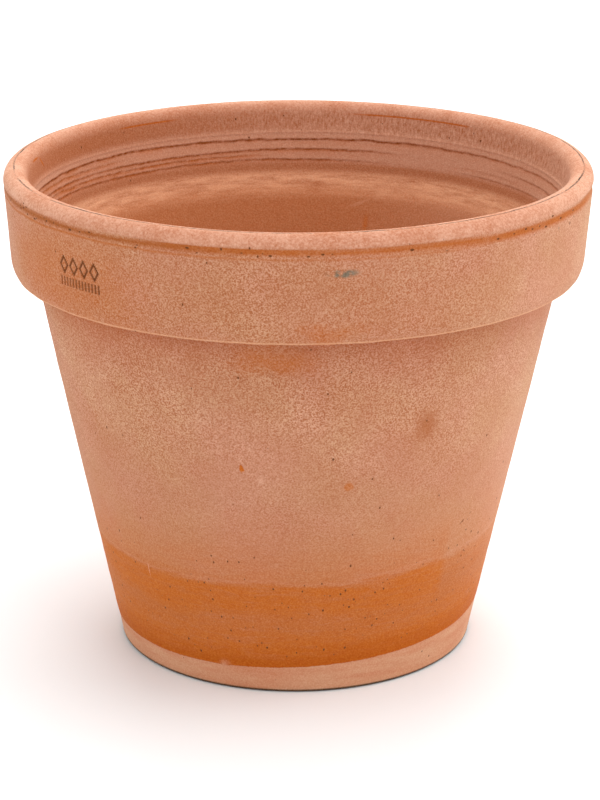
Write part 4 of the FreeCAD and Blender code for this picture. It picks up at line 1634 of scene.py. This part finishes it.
    for pattern in (upright, stretched, crumbs):
        links.new(place["spot"], pattern.inputs["Vector"])
    links.new(upright.outputs["Vector"], runs.inputs["Vector"])
    links.new(runs.outputs["Fac"], run_share.inputs["Value"])
    for height_reader in (near_lip, between, down, deep, above, under_lip):
        links.new(place["height"], height_reader.inputs["Value"])
    links.new(run_share.outputs["Result"], run_here.inputs[0])
    links.new(near_lip.outputs["Result"], run_here.inputs[1])
    links.new(place["across"], run_side.inputs["Value"])
    links.new(run_here.outputs["Value"], run_spread.inputs[0])
    links.new(run_side.outputs["Result"], run_spread.inputs[1])
    links.new(run_spread.outputs["Value"], mouth_lime.inputs[0])
    links.new(between.outputs["Result"], mouth_lime.inputs[1])
    links.new(mouth_lime.outputs["Value"], mouth.inputs[MIX_FACTOR])
    links.new(strokes.outputs["Fac"], bare_strokes.inputs["Value"])
    links.new(bare.outputs["Fac"], bare_share.inputs[0])
    links.new(bare_strokes.outputs["Result"], bare_share.inputs[1])
    links.new(bare_share.outputs["Value"], ringed.inputs[MIX_FACTOR])
    links.new(mouth.outputs[MIX_RESULT], ringed.inputs[MIX_A])
    links.new(stretched.outputs["Vector"], strokes.inputs["Vector"])
    links.new(strokes.outputs["Fac"], stroke_share.inputs["Value"])
    links.new(stroke_share.outputs["Result"], either.inputs[0])
    links.new(above.outputs["Result"], either.inputs[1])
    links.new(either.outputs["Value"], shoulder.inputs[MIX_FACTOR])
    links.new(deep.outputs["Result"], low.inputs[MIX_FACTOR])
    links.new(shoulder.outputs[MIX_RESULT], low.inputs[MIX_A])
    links.new(place["across"], right.inputs["Value"])
    links.new(right.outputs["Result"], right_painted_light.inputs[MIX_FACTOR])
    links.new(right_painted_light.outputs[MIX_RESULT], low.inputs[MIX_B])
    links.new(under_lip.outputs["Result"], lip_line.inputs["Fac"])
    links.new(place["turn"], parts.inputs["Fac"])
    links.new(lip_line.outputs["Color"], line_parts.inputs[0])
    links.new(parts.outputs["Color"], line_parts.inputs[1])
    links.new(line_parts.outputs["Value"], both.inputs[0])
    links.new(along_lip.outputs["Result"], both.inputs[1])
    links.new(both.outputs["Value"], any_line.inputs[0])
    links.new(down_lip.outputs["Result"], any_line.inputs[1])
    links.new(inside.outputs["Fac"], inner_side.inputs[0])
    links.new(any_line.outputs["Value"], inner_line.inputs[0])
    links.new(inner_side.outputs["Value"], inner_line.inputs[1])
    links.new(inner_line.outputs["Value"], lip_lined.inputs[MIX_FACTOR])
    links.new(lined.outputs[MIX_RESULT], lip_lined.inputs[MIX_A])
    links.new(down.outputs["Result"], wall.inputs[MIX_FACTOR])
    links.new(ringed.outputs[MIX_RESULT], wall.inputs[MIX_A])
    links.new(drip.outputs["Result"], dripped.inputs[MIX_FACTOR])
    links.new(low.outputs[MIX_RESULT], dripped.inputs[MIX_A])
    links.new(dab.outputs["Result"], dabs.inputs[0])
    links.new(stroke.outputs["Result"], dabs.inputs[1])
    links.new(dabs.outputs["Value"], dabbed.inputs[MIX_FACTOR])
    links.new(dripped.outputs[MIX_RESULT], dabbed.inputs[MIX_A])
    links.new(dabbed.outputs[MIX_RESULT], wall.inputs[MIX_B])
    links.new(inside.outputs["Fac"], lined.inputs[MIX_FACTOR])
    links.new(colour, lined.inputs[MIX_A])
    links.new(wall.outputs[MIX_RESULT], lined.inputs[MIX_B])
    links.new(crumbs.outputs["Fac"], crumb_share.inputs["Value"])
    links.new(soil.outputs["Fac"], soil_left.inputs[0])
    links.new(crumb_share.outputs["Result"], soil_left.inputs[1])
    links.new(soil_left.outputs["Value"], soiled.inputs[MIX_FACTOR])
    links.new(lip_lined.outputs[MIX_RESULT], soiled.inputs[MIX_A])
    links.new(under.outputs["Fac"], bottom.inputs[MIX_FACTOR])
    links.new(soiled.outputs[MIX_RESULT], bottom.inputs[MIX_A])
    return bottom.outputs[MIX_RESULT]


def scattered_holes(tree, kind, spread_out, crowd, radii, rim):
    """Round holes, at most one to a cell of a pattern. A cell has one where its first random number is
    under crowd; its second gives the hole's radius, between the two radii, as a share of a cell's size.
    The hole darkens across the rim: the distances inside its radius at which it starts and is full.
    Returns the nodes in columns, and the strength of the holes."""
    nodes, links = tree.nodes, tree.links
    cells = nodes.new("ShaderNodeTexVoronoi")
    cells.label = f"One {kind} to a cell"
    size = nodes.new("ShaderNodeSeparateColor")
    size.label = f"Random size and choice of {kind}"
    chosen = nodes.new("ShaderNodeMath")
    chosen.label = f"Cell has a {kind}"
    reach = nodes.new("ShaderNodeMapRange")
    reach.label = f"Radius of the {kind}"
    edge = nodes.new("ShaderNodeMath")
    edge.label = f"Depth into the {kind}"
    hole = nodes.new("ShaderNodeMapRange")
    hole.label = f"Edge of the {kind}"
    holes = nodes.new("ShaderNodeMath")
    holes.label = f"Strength of the {kind}"

    cells.inputs["Scale"].default_value = HOLE_CELLS
    chosen.operation = "LESS_THAN"
    edge.operation = "SUBTRACT"
    holes.operation = "MULTIPLY"
    hole.interpolation_type = "SMOOTHSTEP"
    for ranged, *ends in ((reach, 0, 1, *radii), (hole, *rim, 0, 1)):
        for end, value in zip(RANGE_ENDS, ends):
            ranged.inputs[end].default_value = value

    links.new(spread_out, cells.inputs["Vector"])
    links.new(cells.outputs["Color"], size.inputs["Color"])
    links.new(size.outputs["Red"], chosen.inputs[0])
    links.new(crowd, chosen.inputs[1])
    links.new(size.outputs["Green"], reach.inputs["Value"])
    links.new(reach.outputs["Result"], edge.inputs[0])
    links.new(cells.outputs["Distance"], edge.inputs[1])
    links.new(edge.outputs["Value"], hole.inputs["Value"])
    links.new(hole.outputs["Result"], holes.inputs[0])
    links.new(chosen.outputs["Value"], holes.inputs[1])
    return ([cells], [size], [chosen, reach], [edge], [hole], [holes]), holes.outputs["Value"]


def pores_and_grime(tree, place, finish, colour):
    """Small dark pores, a few in the wall, many in the damp foot and along the lip; wider pits in a line
    under the lip; and the soil that has settled in the pressed mark."""
    nodes, links = tree.nodes, tree.links
    slant = nodes.new("ShaderNodeMapping")
    slant.label = "Pores drawn out upwards"
    crowd = nodes.new("ShaderNodeValToRGB")
    crowd.label = "How many pores by height"
    pore_columns, pores = scattered_holes(
        tree, "pore", slant.outputs["Vector"], crowd.outputs["Color"], (0.03, 0.18), (-0.05, 0.03)
    )
    wide = nodes.new("ShaderNodeMapping")
    wide.label = "Pits wider than high"
    pit_crowd = nodes.new("ShaderNodeValToRGB")
    pit_crowd.label = "Pits only under the lip"
    pit_face = nodes.new("ShaderNodeMath")
    pit_face.label = "Outer face only"
    pit_here = nodes.new("ShaderNodeMath")
    pit_here.label = "Pits on the outer face"
    pit_side = nodes.new("ShaderNodeMapRange")
    pit_side.label = "More pits to the left"
    pit_spread = nodes.new("ShaderNodeMath")
    pit_spread.label = "Pits by side"
    pit_columns, pits = scattered_holes(
        tree, "pit", wide.outputs["Vector"], pit_spread.outputs["Value"], (0.05, 0.27), (-0.04, 0.06)
    )
    holes = nodes.new("ShaderNodeMath")
    holes.label = "Pores and pits"
    pored = nodes.new("ShaderNodeMix")
    pored.label = "Dark pores"
    pressed = nodes.new("ShaderNodeAttribute")
    pressed.label = "Pressed mark"
    settle = nodes.new("ShaderNodeMapRange")
    settle.label = "Soil settles deep down"
    inked = nodes.new("ShaderNodeMix")
    inked.label = "Soil in the mark"
    columns = [[*first, *second] for first, second in zip(pore_columns, pit_columns)]
    arrange(
        tree, "Pores and grime",
        [slant, wide], [crowd, pit_crowd, pit_face], [pit_here, pit_side], [pit_spread], *columns,
        [holes, pressed], [pored, settle], [inked],
    )

    for ranged, *ends in ((pit_side, -85 * MM, 20 * MM, 2.0, 1.0), (settle, 0.10, 0.75, 0, 0.86)):
        for end, value in zip(RANGE_ENDS, ends):
            ranged.inputs[end].default_value = value
    slant.inputs["Rotation"].default_value = (0, math.radians(20), 0)
    slant.inputs["Scale"].default_value = (1, 1, 0.62)
    set_stops(crowd, PORES_BY_HEIGHT)
    wide.inputs["Scale"].default_value = (0.62, 0.62, 1.1)
    set_stops(pit_crowd, ((0.955, 0), (0.960, 0.5), (0.972, 0.5), (0.977, 0)))
    pit_face.operation = "GREATER_THAN"
    pit_face.inputs[1].default_value = 99.5
    for product in (pit_here, pit_spread):
        product.operation = "MULTIPLY"
    holes.operation = "MAXIMUM"
    pressed.attribute_name = "pressed"
    for mix, tint in ((pored, finish.pore), (inked, finish.soil)):
        mix.data_type = "RGBA"
        mix.inputs[MIX_B].default_value = tint

    links.new(place["spot"], slant.inputs["Vector"])
    links.new(place["level"], crowd.inputs["Fac"])
    links.new(place["spot"], wide.inputs["Vector"])
    links.new(place["level"], pit_crowd.inputs["Fac"])
    links.new(place["radius"], pit_face.inputs[0])
    links.new(pit_crowd.outputs["Color"], pit_here.inputs[0])
    links.new(pit_face.outputs["Value"], pit_here.inputs[1])
    links.new(place["across"], pit_side.inputs["Value"])
    links.new(pit_here.outputs["Value"], pit_spread.inputs[0])
    links.new(pit_side.outputs["Result"], pit_spread.inputs[1])
    links.new(pores, holes.inputs[0])
    links.new(pits, holes.inputs[1])
    links.new(holes.outputs["Value"], pored.inputs[MIX_FACTOR])
    links.new(colour, pored.inputs[MIX_A])
    links.new(pressed.outputs["Fac"], settle.inputs["Value"])
    links.new(settle.outputs["Result"], inked.inputs[MIX_FACTOR])
    links.new(pored.outputs[MIX_RESULT], inked.inputs[MIX_A])
    return inked.outputs[MIX_RESULT], holes.outputs["Value"]


def fine_grain(tree, place, colour):
    """Fine grain of the clay: each grain a little paler or deeper in colour than the clay about it."""
    nodes, links = tree.nodes, tree.links
    sand = nodes.new("ShaderNodeTexNoise")
    sand.label = "Fine sand in the clay"
    depth = nodes.new("ShaderNodeMapRange")
    depth.label = "Deeper and paler grains"
    grained = nodes.new("ShaderNodeGamma")
    grained.label = "Grain over the colour"
    arrange(tree, "Fine grain", [sand], [depth], [grained])

    sand.inputs["Scale"].default_value = 1750
    sand.inputs["Detail"].default_value = 1.5
    sand.inputs["Roughness"].default_value = 0.6
    for end, value in zip(RANGE_ENDS, (0.30, 0.70, 1.15, 0.86)):
        depth.inputs[end].default_value = value

    links.new(place["spot"], sand.inputs["Vector"])
    links.new(sand.outputs["Fac"], depth.inputs["Value"])
    links.new(colour, grained.inputs["Color"])
    links.new(depth.outputs["Result"], grained.inputs["Gamma"])
    return grained.outputs["Color"], sand.outputs["Fac"]


def clay_feel(tree, place, worms, lime, bare, sand, holes, colour):
    """How the clay feels: dry and matt, a little smoother where it is bare, with fine grain, a coarser
    unevenness, lime that stands proud and pores that go in."""
    nodes, links = tree.nodes, tree.links
    uneven = nodes.new("ShaderNodeTexNoise")
    uneven.label = "Coarser unevenness"
    proud = nodes.new("ShaderNodeMath")
    proud.label = "Lime stands proud"
    grain = nodes.new("ShaderNodeMath")
    grain.label = "Lime and sand"
    relief = nodes.new("ShaderNodeMath")
    relief.label = "Lime, sand and unevenness"
    pitted = nodes.new("ShaderNodeMath")
    pitted.label = "Pores go in"
    bump = nodes.new("ShaderNodeBump")
    bump.label = "Feel of the surface"
    dull = nodes.new("ShaderNodeMapRange")
    dull.label = "Bare clay is smoother"
    shader = nodes.new("ShaderNodeBsdfPrincipled")
    shader.label = "Matt fired clay"
    output = nodes.new("ShaderNodeOutputMaterial")
    output.label = "Clay surface"
    arrange(
        tree, "Feel of the clay",
        [uneven], [proud], [grain], [relief], [pitted, dull], [bump], [shader], [output],
    )

    for sum_node in (grain, relief, pitted):
        sum_node.operation = "MULTIPLY_ADD"
    uneven.inputs["Scale"].default_value = 210
    uneven.inputs["Detail"].default_value = 3
    proud.operation = "MULTIPLY"
    grain.inputs[1].default_value = 0.42
    relief.inputs[1].default_value = 0.9
    pitted.inputs[1].default_value = -1.2
    bump.inputs["Strength"].default_value = 1.0
    bump.inputs["Distance"].default_value = 0.00022
    dull.inputs["To Min"].default_value = 0.94
    dull.inputs["To Max"].default_value = 0.80
    shader.inputs["Diffuse Roughness"].default_value = 1.0
    shader.inputs["Specular IOR Level"].default_value = 0.10
    shader.inputs["Sheen Weight"].default_value = 0.09
    shader.inputs["Sheen Roughness"].default_value = 0.30
    shader.inputs["Sheen Tint"].default_value = (1.0, 0.90, 0.80, 1.0)

    links.new(place["spot"], uneven.inputs["Vector"])
    links.new(worms, proud.inputs[0])
    links.new(lime, proud.inputs[1])
    links.new(sand, grain.inputs[0])
    links.new(proud.outputs["Value"], grain.inputs[2])
    links.new(uneven.outputs["Fac"], relief.inputs[0])
    links.new(grain.outputs["Value"], relief.inputs[2])
    links.new(holes, pitted.inputs[0])
    links.new(relief.outputs["Value"], pitted.inputs[2])
    links.new(pitted.outputs["Value"], bump.inputs["Height"])
    links.new(bare, dull.inputs["Value"])
    links.new(dull.outputs["Result"], shader.inputs["Roughness"])
    links.new(bump.outputs["Normal"], shader.inputs["Normal"])
    links.new(colour, shader.inputs["Base Color"])
    links.new(shader.outputs["BSDF"], output.inputs["Surface"])


def clay_material(finish):
    """Unglazed fired clay that has stood outdoors. Each step lays one effect over the colour so far."""
    material = bpy.data.materials.new("fired_clay")
    material.use_nodes = True
    tree = material.node_tree
    tree.nodes.clear()
    place = read_place(tree)
    colour = clay_tone(tree, place, finish)
    colour, clouds = warm_clouds(tree, place, finish, colour)
    colour, worms, lime = mineral_bloom(tree, place, finish, colour, clouds)
    colour, bare = damp_foot(tree, place, finish, colour, worms)
    colour = worn_rim(tree, place, finish, colour)
    colour = marks_of_use(tree, place, finish, colour)
    colour = pot_inside(tree, place, finish, colour)
    colour, sand = fine_grain(tree, place, colour)
    colour, pores = pores_and_grime(tree, place, finish, colour)
    clay_feel(tree, place, worms, lime, bare, sand, pores, colour)
    return material


def floor_material():
    """Plain matt white for the floor and backdrop."""
    material = bpy.data.materials.new("studio_white")
    material.use_nodes = True
    shader = material.node_tree.nodes["Principled BSDF"]
    shader.label = "Matt white"
    shader.inputs["Base Color"].default_value = (0.88, 0.88, 0.88, 1)
    shader.inputs["Roughness"].default_value = 1.0
    shader.inputs["Specular IOR Level"].default_value = 0.0
    return material


class POT_OT_add_pot(bpy.types.Operator):
    """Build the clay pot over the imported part's frame"""

    bl_idname = "pot.add_pot"
    bl_label = "Clay pot"

    def execute(self, context):
        scene = context.scene
        points, shares = pot_surface(scene.pot_shape, scene.pot_mark)
        mesh = grid_mesh("clay_pot", points, closed_rows=True, closed_columns=True)
        for name, values in shares.items():
            layer = mesh.attributes.new(name, "FLOAT", "POINT")
            layer.data.foreach_set("value", values.reshape(-1).astype(np.float32))
        pot = add_object("clay_pot", mesh, clay_material(scene.clay_finish))
        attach(pot, "root")
        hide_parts(NODE)
        return {"FINISHED"}


class POT_OT_add_studio(bpy.types.Operator):
    """Set up the pale floor, the lamps and the camera"""

    bl_idname = "pot.add_studio"
    bl_label = "Studio"

    def execute(self, context):
        scene = context.scene
        look = scene.studio_look
        # The floor lies level as far as level_to, turns up in a quarter circle of radius bend, and then
        # stands upright.
        level_to, bend = 1.8, 1.2
        across = np.linspace(-4, 4, 9)[None, :]
        depth = np.linspace(-3, 6, 61)[:, None]
        turn = np.clip((depth - level_to) / bend, 0, np.pi / 2)
        back = np.minimum(depth, level_to) + bend * np.sin(turn)
        rise = bend * (1 - np.cos(turn)) + np.maximum(depth - level_to - bend * np.pi / 2, 0)
        points = np.stack([across + 0 * depth, back + 0 * across, rise + 0 * across], -1)
        mesh = grid_mesh("studio_floor", points, closed_rows=False, closed_columns=False)
        floor = add_object("studio_floor", mesh, floor_material())

        world = bpy.data.worlds.new("surround")
        world.use_nodes = True
        background = world.node_tree.nodes["Background"]
        background.inputs["Color"].default_value = (1, 1, 1, 1)
        background.inputs["Strength"].default_value = look.sky
        scene.world = world
        pot_middle = Vector((0, 0, look.aim_height))
        lamps = [
            ("top_softbox", look.top, (0.25, -0.15, 1.5), 1.4, pot_middle),
            ("right_softbox", look.side, (1.5, 0.1, 0.7), 1.2, pot_middle),
            ("front_fill", look.front, (-0.5, -1.7, 1.1), 1.2, pot_middle),
            ("backdrop_wash", look.back, (0, 1.6, 1.7), 1.6, Vector((0, 1.6, 0))),
        ]
        for name, power, place, size, target in lamps:
            data = bpy.data.lights.new(name, "AREA")
            data.energy = power
            data.size = size
            lamp = bpy.data.objects.new(name, data)
            lamp.location = place
            lamp.rotation_euler = (target - Vector(place)).to_track_quat("-Z", "Y").to_euler()
            scene.collection.objects.link(lamp)

        camera_data = bpy.data.cameras.new("camera")
        camera_data.lens = look.lens
        camera = bpy.data.objects.new("camera", camera_data)
        aim = Vector((look.aim_side, 0, look.aim_height))
        away = Vector((0, -math.cos(look.elevation), math.sin(look.elevation)))
        camera.location = aim + away * look.distance
        camera.rotation_euler = (-away).to_track_quat("-Z", "Y").to_euler()
        scene.collection.objects.link(camera)
        scene.camera = camera
        scene.view_settings.view_transform = "Standard"
        return {"FINISHED"}


class POT_PT_sidebar(bpy.types.Panel):
    """Sizes, colours and buttons of the clay pot"""

    bl_idname = "POT_PT_sidebar"
    bl_label = "Clay flower pot"
    bl_space_type = "VIEW_3D"
    bl_region_type = "UI"
    bl_category = "Pot"

    def draw(self, context):
        for operator in OPERATORS:
            self.layout.operator(operator.bl_idname)
        for group in GROUPS:
            settings = getattr(context.scene, group)
            box = self.layout.box()
            for name in settings.bl_rna.properties.keys():
                if name not in {"rna_type", "name"}:
                    box.prop(settings, name)


OPERATORS = (POT_OT_add_studio, POT_OT_add_pot)
GROUPS = {
    "pot_shape": PotShape,
    "pot_mark": PotMark,
    "clay_finish": ClayFinish,
    "studio_look": StudioLook,
}


def register():
    for item in (*GROUPS.values(), *OPERATORS, POT_PT_sidebar):
        bpy.utils.register_class(item)
    for name, group in GROUPS.items():
        setattr(bpy.types.Scene, name, PointerProperty(type=group))


def unregister():
    for name in GROUPS:
        delattr(bpy.types.Scene, name)
    for item in (POT_PT_sidebar, *OPERATORS, *GROUPS.values()):
        bpy.utils.unregister_class(item)


def main():
    register()
    bpy.ops.pot.add_studio()
    bpy.ops.pot.add_pot()


if __name__ == "__main__":
    main()
